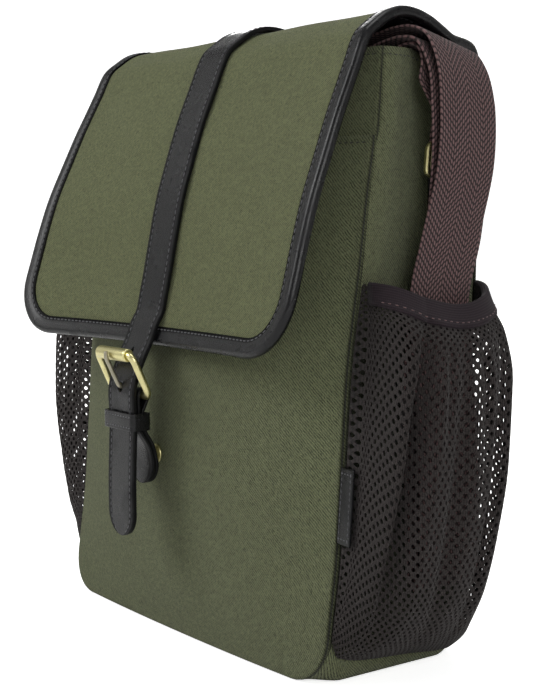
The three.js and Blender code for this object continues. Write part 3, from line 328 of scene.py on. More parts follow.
def net_point(across, up):
    """The right net pocket's outer face, from its front seam to its back seam and up to its rim."""
    across, up = np.broadcast_arrays(np.asarray(across, float), np.asarray(up, float))
    bottom, top = HEIGHT * net_bottom(across), RIM_HEIGHT - RIM_DIP * net_dip(across)
    z = bottom + (top - bottom) * up
    front = front_edge(z) + POCKET_SEAM
    y = front + (back_edge(z) - 1 - front) * across
    off = np.abs(2 * across - 1)
    power = net_boxiness(up) * np.where(across < 0.5, 1.2, 0.8)
    bulge = np.maximum(1 - off**power, 0) ** (1 / power)
    fold = np.zeros_like(across)
    swell = np.sin(np.pi * np.minimum(up * 1.05, 1)) ** 0.5
    for high, low, depth, width in NET_FOLDS:
        away = (across - (low + (high - low) * up)) / width
        fold = fold + depth * (np.exp(-(away**2)) - 0.16 * np.exp(-((away - 1.9) ** 2))) * swell
    hang = smoothstep(up, 0.5, 0.82) * (1 - smoothstep(up, 0.84, 0.95))
    for spot, depth, width in NET_GATHERS:
        away = (across - spot - 0.02 * (1 - up)) / width
        fold = fold + depth * np.exp(-(away**2)) * hang
    out = POCKET_OUT * net_out(up) * bulge * (1 - fold)
    corner_room = 1.4 * np.maximum(1 - z / SEAM_RADIUS, 0)
    wall = np.maximum(side_face_x(y, z), panel_half(z))
    seat = wall + CLEARANCE + corner_room + POCKET_THICK
    forward = np.maximum(2 * net_out(up) - 1, 0) * (1 - across) * np.sqrt(np.sin(np.pi * across))
    return np.stack([seat + out, y - POCKET_FORWARD * forward, z], axis=-1)


def net_inward(across, up):
    reach = 0.006
    along = net_point(across, np.minimum(up + reach, 1)) - net_point(across, np.maximum(up - reach, 0))
    over = net_point(np.minimum(across + reach, 1), up) - net_point(np.maximum(across - reach, 0), up)
    return -unit(np.cross(over, along))


# Building meshes


class Shape:
    """Faces gathered into one mesh, with a UV map in metres and a material number on each face."""

    def __init__(self):
        self.points, self.faces, self.uvs, self.marks, self.painted_shades = [], [], [], [], []
        self.count = 0

    def sheet(self, grid, uv, is_ring=False, mark=0, flip=False, painted_shade=0.0):
        """A grid of points, rows by columns. A ring's last column joins its first, with one more uv.

        The painted shade goes from 0 to 1 and darkens the colour in seams, along stitch rows, at leather
        edges and behind the net.
        """
        rows, cols = grid.shape[:2]
        spans = cols if is_ring else cols - 1
        i, j = np.meshgrid(np.arange(rows - 1), np.arange(spans), indexing="ij")
        i, j = i.ravel(), j.ravel()
        after = (j + 1) % cols
        quads = np.stack([i * cols + j, i * cols + after, (i + 1) * cols + after, (i + 1) * cols + j], axis=1)
        corners = np.stack([uv[i, j], uv[i, j + 1], uv[i + 1, j + 1], uv[i + 1, j]], axis=1)
        if flip:
            quads, corners = quads[:, ::-1], corners[:, ::-1]
        self.points.append(grid.reshape(-1, 3))
        self.painted_shades.append(np.broadcast_to(painted_shade, (rows, cols)).ravel())
        self.faces.extend((quads + self.count).tolist())
        self.uvs.extend(corners.reshape(-1, 2).tolist())
        self.marks.extend([mark] * len(quads))
        self.count += rows * cols
        return self

    def cap(self, ring, uv):
        """One flat face that closes the end of a tube."""
        self.points.append(ring)
        self.painted_shades.append(np.zeros(len(ring)))
        self.faces.append(list(range(self.count, self.count + len(ring))))
        self.uvs.extend(uv[: len(ring)].tolist())
        self.marks.append(0)
        self.count += len(ring)
        return self

    def tube(self, grid, around, along, is_loop=False, painted_shade=0.0):
        """Closed sections, one row each, with flat ends unless the last row is the first again."""
        uv = np.stack(np.meshgrid(around, along), axis=-1) * MM
        self.sheet(grid, uv, is_ring=True, painted_shade=painted_shade)
        if not is_loop:
            self.cap(grid[0], uv[0]).cap(grid[-1][::-1], uv[-1])
        return self

    def make(self, name, materials, is_closed=True, towards=None, merge=MERGE):
        """The mesh object, with doubles merged. A closed body's faces point out, a sheet's one way."""
        mesh = bpy.data.meshes.new(name)
        mesh.from_pydata((np.concatenate(self.points) * MM).tolist(), [], self.faces)
        layer = mesh.uv_layers.new(name="UVMap")
        layer.data.foreach_set("uv", np.array(self.uvs, np.float32).ravel())
        mesh.polygons.foreach_set("material_index", self.marks)
        # Painted shade per point, read by the canvas and leather materials to darken their colour.
        painted_shade = mesh.attributes.new("painted_shade", "FLOAT", "POINT")
        painted_shade.data.foreach_set("value", np.concatenate(self.painted_shades).astype(np.float32))
        body = bmesh.new()
        body.from_mesh(mesh)
        bmesh.ops.remove_doubles(body, verts=body.verts, dist=merge)
        bmesh.ops.recalc_face_normals(body, faces=body.faces)
        body.normal_update()
        if not is_closed:
            facing = sum((face.normal * face.calc_area() for face in body.faces), Vector())
            if facing.dot(towards) < 0:
                bmesh.ops.reverse_faces(body, faces=body.faces)
        body.to_mesh(mesh)
        body.free()
        mesh.polygons.foreach_set("use_smooth", [True] * len(mesh.polygons))
        for material in materials:
            mesh.materials.append(material)
        return add_object(name, mesh)


def add_object(name, data):
    obj = bpy.data.objects.new(name, data)
    bpy.context.scene.collection.objects.link(obj)
    return obj


def settle(obj):
    """The object's modifiers become plain mesh."""
    evaluated = obj.evaluated_get(bpy.context.evaluated_depsgraph_get())
    mesh = bpy.data.meshes.new_from_object(evaluated)
    obj.modifiers.clear()
    old, obj.data = obj.data, mesh
    bpy.data.meshes.remove(old)
    mesh.name = obj.name
    mesh.polygons.foreach_set("use_smooth", [True] * len(mesh.polygons))
    return obj


def thicken(obj, thickness):
    """A cloth sheet gets its thickness behind its outer face."""
    solid = obj.modifiers.new("Thickness", "SOLIDIFY")
    solid.thickness = thickness * MM
    solid.offset = -1
    return settle(obj)


def place(obj, nodes, slot):
    """The piece rides on the bag and stands for its CAD nodes, which are hidden; slot is not used."""
    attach(obj, "root")
    if nodes:
        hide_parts(*nodes)


def slab_section(width, thickness, edge, flats=9, dip=0.0, dip_at=3.0):
    """A flat strip's section with round edges; dip is the depth of its stitch channels."""
    half, thin = width / 2 - edge, thickness / 2
    steps = [i / 6 * math.pi / 2 for i in range(1, 6)]
    top = [(x, thin) for x in np.linspace(-half, half, flats)]
    right = [(half + edge * math.sin(a), thin - edge * (1 - math.cos(a))) for a in steps]
    side = right + [(half + edge, thin - edge)]
    lower = [(x, -y) for x, y in reversed(side)]
    bottom = [(x, -thin) for x in np.linspace(half, -half, flats)]
    left = [(-x, y) for x, y in lower[::-1]] + [(-x, y) for x, y in side[::-1]]
    section = np.array(top + side + lower + bottom + left)
    channel = np.exp(-(((np.abs(section[:, 0]) - (width / 2 - dip_at)) / 0.9) ** 2))
    section[:, 1] -= np.sign(section[:, 1]) * channel * dip
    return section


def round_section(sides, across, up=None):
    angles = (np.arange(sides) + 0.5) * 2 * np.pi / sides
    return np.stack([across * np.cos(angles), (up or across) * np.sin(angles)], axis=1)


def swept(path, across, face, section, is_loop=False, widths=1.0, around=None, painted_shade=0.0):
    """A shape made by a section along a path; across and face are its directions at each point."""
    count = len(path)
    across, face = np.broadcast_to(across, (count, 3)), np.broadcast_to(face, (count, 3))
    widths = np.broadcast_to(widths, count)
    grid = (
        path[:, None, :]
        + across[:, None, :] * (section[None, :, 0, None] * widths[:, None, None])
        + face[:, None, :] * section[None, :, 1, None]
    )
    along = lengths_along(path)
    if is_loop:
        grid = np.concatenate([grid, grid[:1]])
        along = np.append(along, along[-1] + np.linalg.norm(path[0] - path[-1]))
    around = lengths_around(section) if around is None else around
    return Shape().tube(grid, around, along, is_loop, painted_shade)


def flat_normals(path):
    """Normals of a strip that bends in the YZ plane, on the side away from the bag."""
    return unit(np.cross(np.gradient(path, axis=0), RIGHT))


def round_ends(along, half, start, end):
    """Width shares of a strip whose ends are rounded with half its width."""
    nearest = np.full(len(along), half)
    if start:
        nearest = np.minimum(nearest, along)
    if end:
        nearest = np.minimum(nearest, along[-1] - along)
    return np.maximum(np.sqrt(half**2 - (half - nearest) ** 2), half * 0.12) / half


def close_ends(path, step, half, start, end):
    """An even path whose points are closer together near its rounded ends."""
    along = lengths_along(path)
    total = along[-1]
    wanted = list(np.linspace(0, total, int(total / step) + 1))
    fine = half * (1 - np.cos(np.linspace(0, np.pi / 2, 14)))
    wanted += list(fine) if start else []
    wanted += list(total - fine) if end else []
    wanted = np.unique(np.round(wanted, 3))
    return np.stack([np.interp(wanted, along, path[:, k]) for k in range(3)], axis=1)


def lathed(profile, segments):
    """A shape turned round the X axis from a profile of (radius, along)."""
    angles = np.linspace(0, 2 * np.pi, segments, endpoint=False)
    profile = np.array(profile, float)
    radius, x = profile[:, :1], np.repeat(profile[:, 1:], segments, axis=1)
    grid = np.stack([x, radius * np.cos(angles), radius * np.sin(angles)], axis=-1)
    around = np.linspace(0, 2 * np.pi * radius.max(), segments + 1)
    uv = np.stack(np.meshgrid(around, lengths_along(profile)), axis=-1) * MM
    return Shape().sheet(grid, uv, is_ring=True)


# Node trees


class Nodes:
    """Adds the nodes of one tree and joins them."""

    def __init__(self, tree):
        self.tree = tree

    def add(self, kind, values=None, **settings):
        node = self.tree.nodes.new(kind)
        for key, value in settings.items():
            setattr(node, key, value)
        for key, value in (values or {}).items():
            self.join(value, node.inputs[key])
        return node

    def join(self, value, socket):
        if isinstance(value, bpy.types.NodeSocket):
            self.tree.links.new(value, socket)
        elif value is not None:
            socket.default_value = value

    def math(self, operation, *values):
        node = self.add("ShaderNodeMath", operation=operation)
        for value, socket in zip(values, node.inputs):
            self.join(value, socket)
        return node.outputs[0]

    def wave(self, phase):
        """From 0 to 1 and back once for each whole step of the phase."""
        turn = self.math("MULTIPLY", phase, 2 * math.pi)
        return self.math("MULTIPLY_ADD", self.math("SINE", turn), 0.5, 0.5)

    def noise(self, vector, scale, detail=2.0, roughness=0.5):
        values = {"Vector": vector, "Scale": scale, "Detail": detail, "Roughness": roughness}
        return self.add("ShaderNodeTexNoise", values).outputs["Fac"]

    def spread(self, value, low, high, to_low=0.0, to_high=1.0):
        values = {0: value, 1: low, 2: high, 3: to_low, 4: to_high}
        return self.add("ShaderNodeMapRange", values, interpolation_type="SMOOTHSTEP").outputs[0]

    def mix(self, factor, first, second, blend_type="MIX"):
        values = {0: factor, 6: first, 7: second}
        return self.add("ShaderNodeMix", values, data_type="RGBA", blend_type=blend_type).outputs[2]

    def group(self, tree, **values):
        node = self.add("ShaderNodeGroup", node_tree=tree)
        for key, value in values.items():
            self.join(value, node.inputs[key.replace("_", " ")])
        return node.outputs


def shared_effect(name, inputs, outputs, build):
    """A shader node group with named inputs and outputs, built once."""
    tree = bpy.data.node_groups.get(name)
    if tree:
        return tree
    tree = bpy.data.node_groups.new(name, "ShaderNodeTree")
    for label, kind, value in inputs:
        socket = tree.interface.new_socket(name=label, in_out="INPUT", socket_type="NodeSocket" + kind)
        if value is not None:
            socket.default_value = value
    for label in outputs:
        tree.interface.new_socket(name=label, in_out="OUTPUT", socket_type="NodeSocketFloat")
    nodes = Nodes(tree)
    source, sink = nodes.add("NodeGroupInput"), nodes.add("NodeGroupOutput")
    for label, value in build(nodes, source.outputs).items():
        nodes.join(value, sink.inputs[label])
    return tree


def twill_effect():
    def build(nodes, inputs):
        wobble = nodes.noise(inputs["UV"], 260.0, 2.0)
        shift = nodes.math("MULTIPLY", nodes.math("SUBTRACT", wobble, 0.5), 0.9)
        parts = nodes.add("ShaderNodeSeparateXYZ", {0: inputs["UV"]}).outputs
        u = nodes.math("DIVIDE", parts[0], inputs["Pitch"])
        v = nodes.math("DIVIDE", parts[1], inputs["Pitch"])
        rib = nodes.wave(nodes.math("ADD", nodes.math("ADD", u, v), shift))
        warp = nodes.wave(nodes.math("MULTIPLY", u, 2.0))
        height = nodes.math("MULTIPLY_ADD", rib, 0.7, nodes.math("MULTIPLY", warp, 0.3))
        fuzz = nodes.noise(inputs["UV"], 2600.0, 3.0, 0.7)
        return {"Height": nodes.math("MULTIPLY_ADD", fuzz, 0.5, height), "Fuzz": fuzz}

    inputs = (("UV", "Vector", None), ("Pitch", "Float", 0.001))
    return shared_effect("Twill Weave", inputs, ("Height", "Fuzz"), build)


def tone_effect():
    def build(nodes, inputs):
        broad = nodes.noise(inputs["Vector"], 9.0, 3.0, 0.55)
        mottled = nodes.noise(inputs["Vector"], 560.0, 4.0, 0.85)
        flecks = nodes.noise(inputs["Vector"], 800.0, 1.0)
        return {"Broad": broad, "Mottled": mottled, "Flecks": nodes.spread(flecks, 0.6, 0.75)}

    return shared_effect("Cloth Tone", (("Vector", "Vector", None),), ("Broad", "Mottled", "Flecks"), build)


def grain_effect():
    def build(nodes, inputs):
        values = {"Vector": inputs["Vector"], "Scale": inputs["Scale"], "Randomness": 1.0}
        cells = nodes.add("ShaderNodeTexVoronoi", values, feature="DISTANCE_TO_EDGE").outputs["Distance"]
        pebbles = nodes.spread(cells, 0.0, 0.12)
        pores = nodes.noise(inputs["Vector"], 2400.0, 3.0, 0.6)
        scuffs = nodes.spread(nodes.noise(inputs["Vector"], 38.0, 5.0, 0.65), 0.5, 0.72)
        return {"Height": nodes.math("MULTIPLY_ADD", pores, 0.35, pebbles), "Scuffs": scuffs}

    inputs = (("Vector", "Vector", None), ("Scale", "Float", 900.0))
    return shared_effect("Leather Grain", inputs, ("Height", "Scuffs"), build)


def herringbone_effect():
    def build(nodes, inputs):
        parts = nodes.add("ShaderNodeSeparateXYZ", {0: inputs["UV"]}).outputs
        band = nodes.math("DIVIDE", parts[0], inputs["Band"])
        zigzag = nodes.math("PINGPONG", band, 1.0)
        step = nodes.math("MULTIPLY", zigzag, nodes.math("DIVIDE", inputs["Band"], inputs["Pitch"]))
        phase = nodes.math("ADD", nodes.math("DIVIDE", parts[1], inputs["Pitch"]), step)
        rib = nodes.wave(phase)
        cords = nodes.wave(nodes.math("DIVIDE", parts[0], inputs["Cord"]))
        height = nodes.math("MULTIPLY_ADD", rib, 0.6, nodes.math("MULTIPLY", cords, 0.4))
        fibres = nodes.noise(inputs["UV"], 3000.0, 2.0, 0.6)
        shade = nodes.math("MULTIPLY", rib, cords)
        return {"Height": nodes.math("MULTIPLY_ADD", fibres, 0.25, height), "Shade": shade}

    sizes = (("Band", "Float", 0.0095), ("Pitch", "Float", 0.003), ("Cord", "Float", 0.0016))
    inputs = (("UV", "Vector", None), *sizes)
    return shared_effect("Herringbone Weave", inputs, ("Height", "Shade"), build)


def rib_effect():
    def build(nodes, inputs):
        parts = nodes.add("ShaderNodeSeparateXYZ", {0: inputs["UV"]}).outputs
        ribs = nodes.wave(nodes.math("DIVIDE", parts[0], inputs["Rib"]))
        picks = nodes.wave(nodes.math("DIVIDE", parts[1], inputs["Pick"]))
        height = nodes.math("MULTIPLY_ADD", ribs, 0.7, nodes.math("MULTIPLY", picks, 0.3))
        return {"Height": height, "Fuzz": nodes.noise(inputs["UV"], 2500.0, 2.0, 0.6)}

    inputs = (("UV", "Vector", None), ("Rib", "Float", 0.0011), ("Pick", "Float", 0.0009))
    return shared_effect("Ribbed Knit", inputs, ("Height", "Fuzz"), build)


def tarnish_effect():
    def build(nodes, inputs):
        cloud = nodes.noise(inputs["Vector"], 120.0, 4.0, 0.6)
        speck = nodes.noise(inputs["Vector"], 1500.0, 3.0, 0.6)
        return {"Cloud": nodes.spread(cloud, 0.35, 0.7), "Speck": speck}

    return shared_effect("Metal Tarnish", (("Vector", "Vector", None),), ("Cloud", "Speck"), build)


# Materials


def linear(*levels):
    """A picture's colour levels, 0 to 255, as a linear colour."""
    shares = [level / 255 for level in levels]
    return tuple(s / 12.92 if s <= 0.04045 else ((s + 0.055) / 1.055) ** 2.4 for s in shares) + (1.0,)


def scaled(colour, share):
    return tuple(min(c * share, 1.0) for c in colour[:3]) + (1.0,)


def new_material(name, **settings):
    """A material with its Principled shader, and a Nodes helper for its tree."""
    material = bpy.data.materials.new(name)
    material.use_nodes = True
    shader = material.node_tree.nodes["Principled BSDF"]
    for key, value in settings.items():
        shader.inputs[key.replace("_", " ")].default_value = value
    return material, Nodes(material.node_tree), shader


def surface(nodes, shader, base, rough, height, strength, distance):
    """Joins a material's colour and roughness, and its height as a bump of some depth."""
    values = {"Height": height, "Strength": strength, "Distance": distance * MM}
    bump = nodes.add("ShaderNodeBump", values).outputs["Normal"]
    for value, name in ((base, "Base Color"), (rough, "Roughness"), (bump, "Normal")):
        nodes.join(value, shader.inputs[name])


def uv_and_place(nodes):
    uv = nodes.add("ShaderNodeUVMap", uv_map="UVMap").outputs["UV"]
    return uv, nodes.add("ShaderNodeTexCoord").outputs["Object"]


def painted_shade_input(nodes):
    """The painted shade, from 0 to 1, that darkens a material's colour in seams, stitch channels and along
    leather edges.
    """
    return nodes.add("ShaderNodeAttribute", attribute_name="painted_shade").outputs["Fac"]


def canvas_material(name, colour):
    looks = {"Sheen_Weight": 0.08, "Sheen_Roughness": 0.5, "Specular_IOR_Level": 0.15}
    material, nodes, shader = new_material(name, **looks)
    uv, spot = uv_and_place(nodes)
    weave = nodes.group(twill_effect(), UV=uv, Pitch=0.0016)
    tone = nodes.group(tone_effect(), Vector=spot)
    threads = nodes.spread(weave["Height"], 0.25, 1.1)
    base = nodes.mix(threads, scaled(colour, 0.1), scaled(colour, 1.9))
    base = nodes.mix(nodes.spread(tone["Broad"], 0.3, 0.7, 0.0, 0.16), base, scaled(colour, 0.7))
    base = nodes.mix(nodes.spread(tone["Mottled"], 0.42, 0.62, 0.0, 0.7), base, scaled(colour, 1.8))
    base = nodes.mix(nodes.math("MULTIPLY", tone["Flecks"], 0.5), base, scaled(colour, 0.25))
    # Painted shade: the canvas darkens in the seams, along rolled edges and on the side wall behind the net.
    base = nodes.mix(nodes.math("MULTIPLY", painted_shade_input(nodes), 0.92), base, scaled(colour, 0.08))
    rough = nodes.spread(weave["Fuzz"], 0.2, 0.8, 0.85, 0.98)
    surface(nodes, shader, base, rough, weave["Height"], 1.0, 0.55)
    return material


def leather_material(name, colour, polish):
    material, nodes, shader = new_material(name, Specular_IOR_Level=0.3, Coat_Roughness=0.22)
    _, spot = uv_and_place(nodes)
    grain = nodes.group(grain_effect(), Vector=spot, Scale=850.0)
    base = nodes.mix(nodes.math("MULTIPLY", grain["Scuffs"], 0.4), colour, scaled(colour, 2.4))
    # Painted shade: the leather darkens in stitch channels and along edges, which also turn rougher and less
    # shiny.
    shade_mask = painted_shade_input(nodes)
    base = nodes.mix(shade_mask, base, scaled(colour, 0.15))
    rough = nodes.spread(grain["Scuffs"], 0.0, 1.0, polish, polish + 0.18)
    rough = nodes.math("MULTIPLY_ADD", shade_mask, 0.45, rough)
    surface(nodes, shader, base, rough, grain["Height"], 0.22, 0.18)
    nodes.join(nodes.math("MULTIPLY_ADD", shade_mask, -0.24, 0.3), shader.inputs["Specular IOR Level"])
    nodes.join(nodes.spread(grain["Scuffs"], 0.0, 1.0, 0.14, 0.03), shader.inputs["Coat Weight"])
    return material


def webbing_material(name, colour):
    material, nodes, shader = new_material(name, Sheen_Weight=0.1, Specular_IOR_Level=0.3)
    uv, spot = uv_and_place(nodes)
    weave = nodes.group(herringbone_effect(), UV=uv)
    tone = nodes.group(tone_effect(), Vector=spot)
    base = nodes.mix(nodes.spread(weave["Shade"], 0.05, 0.5), scaled(colour, 0.06), scaled(colour, 1.9))
    base = nodes.mix(nodes.math("MULTIPLY", tone["Mottled"], 0.3), base, scaled(colour, 0.8))
    rough = nodes.spread(weave["Height"], 0.0, 1.2, 0.85, 0.6)
    surface(nodes, shader, base, rough, weave["Height"], 0.7, 0.5)
    return material


def elastic_material(name, colour):
    material, nodes, shader = new_material(name, Sheen_Weight=0.06, Specular_IOR_Level=0.2)
    uv, _ = uv_and_place(nodes)
    knit = nodes.group(rib_effect(), UV=uv)
    base = nodes.mix(nodes.spread(knit["Height"], 0.1, 0.9), scaled(colour, 0.45), scaled(colour, 1.3))
    rough = nodes.spread(knit["Fuzz"], 0.2, 0.8, 0.75, 0.95)
    surface(nodes, shader, base, rough, knit["Height"], 0.5, 0.3)
    return material


def thread_material(name, colour):
    material, nodes, shader = new_material(name, Sheen_Weight=0.2, Specular_IOR_Level=0.4)
    _, spot = uv_and_place(nodes)
    twist = nodes.noise(spot, 2200.0, 2.0, 0.6)
    base = nodes.mix(nodes.spread(twist, 0.3, 0.7), scaled(colour, 0.6), scaled(colour, 1.3))
    surface(nodes, shader, base, nodes.spread(twist, 0.2, 0.8, 0.5, 0.8), twist, 0.3, 0.1)
    return material


def metal_material(name, colour, polish):
    material, nodes, shader = new_material(name, Metallic=1.0)
    _, spot = uv_and_place(nodes)
    age = nodes.group(tarnish_effect(), Vector=spot)
    base = nodes.mix(nodes.math("MULTIPLY", age["Cloud"], 0.45), colour, scaled(colour, 0.62))
    rough = nodes.spread(age["Speck"], 0.2, 0.8, polish, polish + 0.16)
    surface(nodes, shader, base, rough, age["Speck"], 0.12, 0.05)
    return material


def stage_material(colour):
    material, nodes, shader = new_material("studio_paper", Roughness=0.9, Specular_IOR_Level=0.2)
    _, spot = uv_and_place(nodes)
    tone = nodes.math("MULTIPLY", nodes.noise(spot, 3.0, 2.0), 0.04)
    nodes.join(nodes.mix(tone, colour, scaled(colour, 0.92)), shader.inputs["Base Color"])
    seen = nodes.add("ShaderNodeLightPath").outputs["Is Camera Ray"]
    shader.inputs["Emission Color"].default_value = (1, 1, 1, 1)
    nodes.join(nodes.math("MULTIPLY", seen, 0.75), shader.inputs["Emission Strength"])
    return material


def finish(name):
    """The bag's materials by name, made when first asked for."""
    found = bpy.data.materials.get(name)
    if found:
        return found
    colours = bpy.context.scene.bag_colours
    makers = {
        "canvas_body": (canvas_material, colours.body),
        "canvas_flap": (canvas_material, colours.flap),
        "lining_black": (canvas_material, colours.lining),
        "leather_black": (leather_material, colours.leather, 0.27),
        "leather_edge": (leather_material, scaled(colours.leather, 0.7), 0.55),
        "net_cord": (elastic_material, colours.net),
        "elastic_plum": (elastic_material, colours.elastic),
        "webbing_plum": (webbing_material, colours.webbing),
        "thread_dark": (thread_material, colours.thread),
        "thread_olive": (thread_material, scaled(colours.body, 0.3)),
        "thread_plum": (thread_material, scaled(colours.webbing, 1.6)),
        "brass_satin": (metal_material, colours.brass, 0.24),
        "prong_grey": (metal_material, colours.prong, 0.3),
    }
    maker, *looks = makers[name]
    return maker(name, *looks)


# Geometry Nodes trees


def tree_with(name, inputs):
    """A geometry node tree with a geometry in and out and its own named inputs."""
    tree = bpy.data.node_groups.new(name, "GeometryNodeTree")
    tree.interface.new_socket(name="Geometry", in_out="INPUT", socket_type="NodeSocketGeometry")
    for label, kind, value in inputs:
        socket = tree.interface.new_socket(name=label, in_out="INPUT", socket_type="NodeSocket" + kind)
        if value is not None:
            socket.default_value = value
    tree.interface.new_socket(name="Geometry", in_out="OUTPUT", socket_type="NodeSocketGeometry")
    nodes = Nodes(tree)
    return tree, nodes, nodes.add("NodeGroupInput").outputs, nodes.add("NodeGroupOutput").inputs


def dressed(tree, nodes, geometry, material, result):
    """Ends a tree: the instances become real and take their material."""
    real = nodes.add("GeometryNodeRealizeInstances", {"Geometry": geometry}).outputs[0]
    finished = nodes.add("GeometryNodeSetMaterial", {"Geometry": real, "Material": material}).outputs[0]
    nodes.join(finished, result[0])
    return tree


def stitch_tree():
    """Stitches at even steps along lines, turned to face as each line's own attribute says."""
    found = bpy.data.node_groups.get("Stitch Row")
    if found:
        return found
    sizes = (
        ("Stitch Pitch", "Float", 0.0033),
        ("Stitch Length", "Float", 0.0025),
        ("Thread Radius", "Float", 0.0004),
        ("Thread", "Material", None),
    )
    tree, nodes, given, result = tree_with("Stitch Row", sizes)
    lines = nodes.add("GeometryNodeMeshToCurve", {"Mesh": given["Geometry"]}).outputs[0]
    even = {"Curve": lines, "Length": given["Stitch Pitch"]}
    rows = nodes.add("GeometryNodeResampleCurve", even, mode="LENGTH")
    tangent = nodes.add("GeometryNodeInputTangent").outputs[0]
    named = nodes.add("GeometryNodeInputNamedAttribute", {"Name": "face"}, data_type="FLOAT_VECTOR")
    along = nodes.add("FunctionNodeAlignRotationToVector", {"Vector": tangent}, axis="X")
    facing = {"Rotation": along.outputs[0], "Vector": named.outputs[0]}
    turned = nodes.add("FunctionNodeAlignRotationToVector", facing, axis="Z", pivot_axis="X")
    bead = nodes.add("GeometryNodeMeshUVSphere", {"Segments": 6, "Rings": 6, "Radius": 1.0})
    half, radius = nodes.math("MULTIPLY", given["Stitch Length"], 0.5), given["Thread Radius"]
    size = nodes.add("ShaderNodeCombineXYZ", {0: half, 1: radius, 2: radius})
    names = ("Points", "Instance", "Rotation", "Scale")
    values = dict(zip(names, (node.outputs[0] for node in (rows, bead, turned, size))))
    copies = nodes.add("GeometryNodeInstanceOnPoints", values).outputs[0]
    return dressed(tree, nodes, copies, given["Thread"], result)


def perforated_tree():
    """Opens a round hole in each face of a sheet and gives the sheet its thickness."""
    found = bpy.data.node_groups.get("Open Net")
    if found:
        return found
    sizes = (
        ("Hole Share", "Float", 0.6),
        ("Cord Thickness", "Float", 0.0007),
        ("Cord", "Material", None),
    )
    tree, nodes, given, result = tree_with("Open Net", sizes)

    def extruded(mesh, offset, is_single):
        values = {"Mesh": mesh, "Offset Scale": offset, "Individual": is_single}
        return nodes.add("GeometryNodeExtrudeMesh", values, mode="FACES").outputs

    inset = extruded(given["Geometry"], 0.0, True)
    values = {"Geometry": inset["Mesh"], "Selection": inset["Top"], "Scale": given["Hole Share"]}
    shrunk = nodes.add("GeometryNodeScaleElements", values).outputs[0]
    values = {"Geometry": shrunk, "Selection": inset["Top"]}
    opened = nodes.add("GeometryNodeDeleteGeometry", values, domain="FACE").outputs[0]
    soft = nodes.add("GeometryNodeSubdivisionSurface", {"Mesh": opened, "Level": 1}).outputs[0]
    both = nodes.add("GeometryNodeJoinGeometry")
    nodes.join(extruded(soft, given["Cord Thickness"], False)["Mesh"], both.inputs[0])
    nodes.join(nodes.add("GeometryNodeFlipFaces", {"Mesh": soft}).outputs[0], both.inputs[0])
    values = {"Geometry": both.outputs[0], "Distance": MERGE}
    closed = nodes.add("GeometryNodeMergeByDistance", values).outputs[0]
    return dressed(tree, nodes, closed, given["Cord"], result)


def run_tree(obj, tree, values):
    """Runs a tree on the object with the given inputs and keeps the plain mesh."""
    modifier = obj.modifiers.new(tree.name, "NODES")
    modifier.node_group = tree
    identifiers = {s.name: s.identifier for s in tree.interface.items_tree if s.in_out == "INPUT"}
    for name, value in values.items():
        modifier[identifiers[name]] = value
    return settle(obj)


def sew(name, lines, thread, slot, pitch=None, length=None, radius=None):
    """Rows of stitches; each line is its points and the directions that its stitches face."""
    sizes = bpy.context.scene.bag_stitching
    points = np.concatenate([line for line, _ in lines])
    faces = np.concatenate([np.broadcast_to(face, line.shape) for line, face in lines])
    edges, start = [], 0
    for line, _ in lines:
        edges += [(start + i, start + i + 1) for i in range(len(line) - 1)]
        start += len(line)
    mesh = bpy.data.meshes.new(name)
    mesh.from_pydata((points * MM).tolist(), edges, [])
    facing = mesh.attributes.new("face", "FLOAT_VECTOR", "POINT")
    facing.data.foreach_set("vector", faces.astype(np.float32).ravel())
    values = {
        "Stitch Pitch": pitch or sizes.pitch,
        "Stitch Length": length or sizes.length,
        "Thread Radius": radius or sizes.radius,
        "Thread": finish(thread),
    }
    place(run_tree(add_object(name, mesh), stitch_tree(), values), (), slot)


# Body


def body_heights(top, rows=90):
    """Heights up a panel: close together round its bottom corner, then even."""
    angles = np.linspace(0, np.pi / 2, 13)[:-1]
    return np.concatenate([SEAM_RADIUS * (1 - np.cos(angles)), np.linspace(SEAM_RADIUS, top, rows)])


def panel(name, node, top, face_y, thickness, roll, sink, turn=1, spans=72):
    """A canvas panel whose side and bottom edges roll over to the side wall, towards turn times Y."""
    heights = body_heights(top)
    inside = np.maximum(heights, roll)
    keep = np.concatenate([[True], np.diff(inside) > 1e-6])
    heights, inside = heights[keep], inside[keep]
    half = panel_half(inside, roll)[:, None]
    shares = 0.75 * np.linspace(-1, 1, spans + 1)
    shares = shares + 0.25 * np.sin(np.linspace(-np.pi / 2, np.pi / 2, spans + 1))
    x = half * shares
    z = np.broadcast_to(inside[:, None], x.shape)
    grid = np.stack([x, face_y(x, z), z], axis=-1)
    room = np.minimum(half - np.abs(x), z - roll)
    # Painted shade: a faint darkening near the edges where the panel meets the side wall.
    shape = Shape().sheet(grid, grid[..., [0, 2]] * MM, painted_shade=0.1 * np.exp(-((room / 1.2) ** 2)))
    edge = np.concatenate([grid[:0:-1, 0], grid[0], grid[1:, -1]])
    low = np.clip((SEAM_RADIUS - heights) / SEAM_RADIUS, 0, 1)
    right = np.stack([np.sqrt(1 - low**2), 0 * low, -low], axis=1)
    bottom = np.tile([0.0, 0.0, -1.0], (spans - 1, 1))
    outward = np.concatenate([right[::-1] * [-1, 1, 1], bottom, right])
    angles = np.linspace(0, np.pi / 2, 7)
    out = np.append(roll * np.sin(angles), roll)
    over = np.append(roll * (1 - np.cos(angles)), roll + sink)
    rings = edge + outward * out[:, None, None] + over[:, None, None] * np.array([0, turn, 0])
    reach = lengths_along(rings[:, 0])[:, None]
    flat = edge[:, [0, 2]] + outward[:, [0, 2]] * reach[..., None]
    # Painted shade on the rolled edge, darkest where it turns into the seam.
    shape.sheet(rings, flat * MM, painted_shade=np.clip(reach / roll - 0.5, 0.1, 1))
    cloth = shape.make(name, [finish("canvas_body")], False, FRONT * turn)
    place(thicken(cloth, thickness), [node], "canvas")


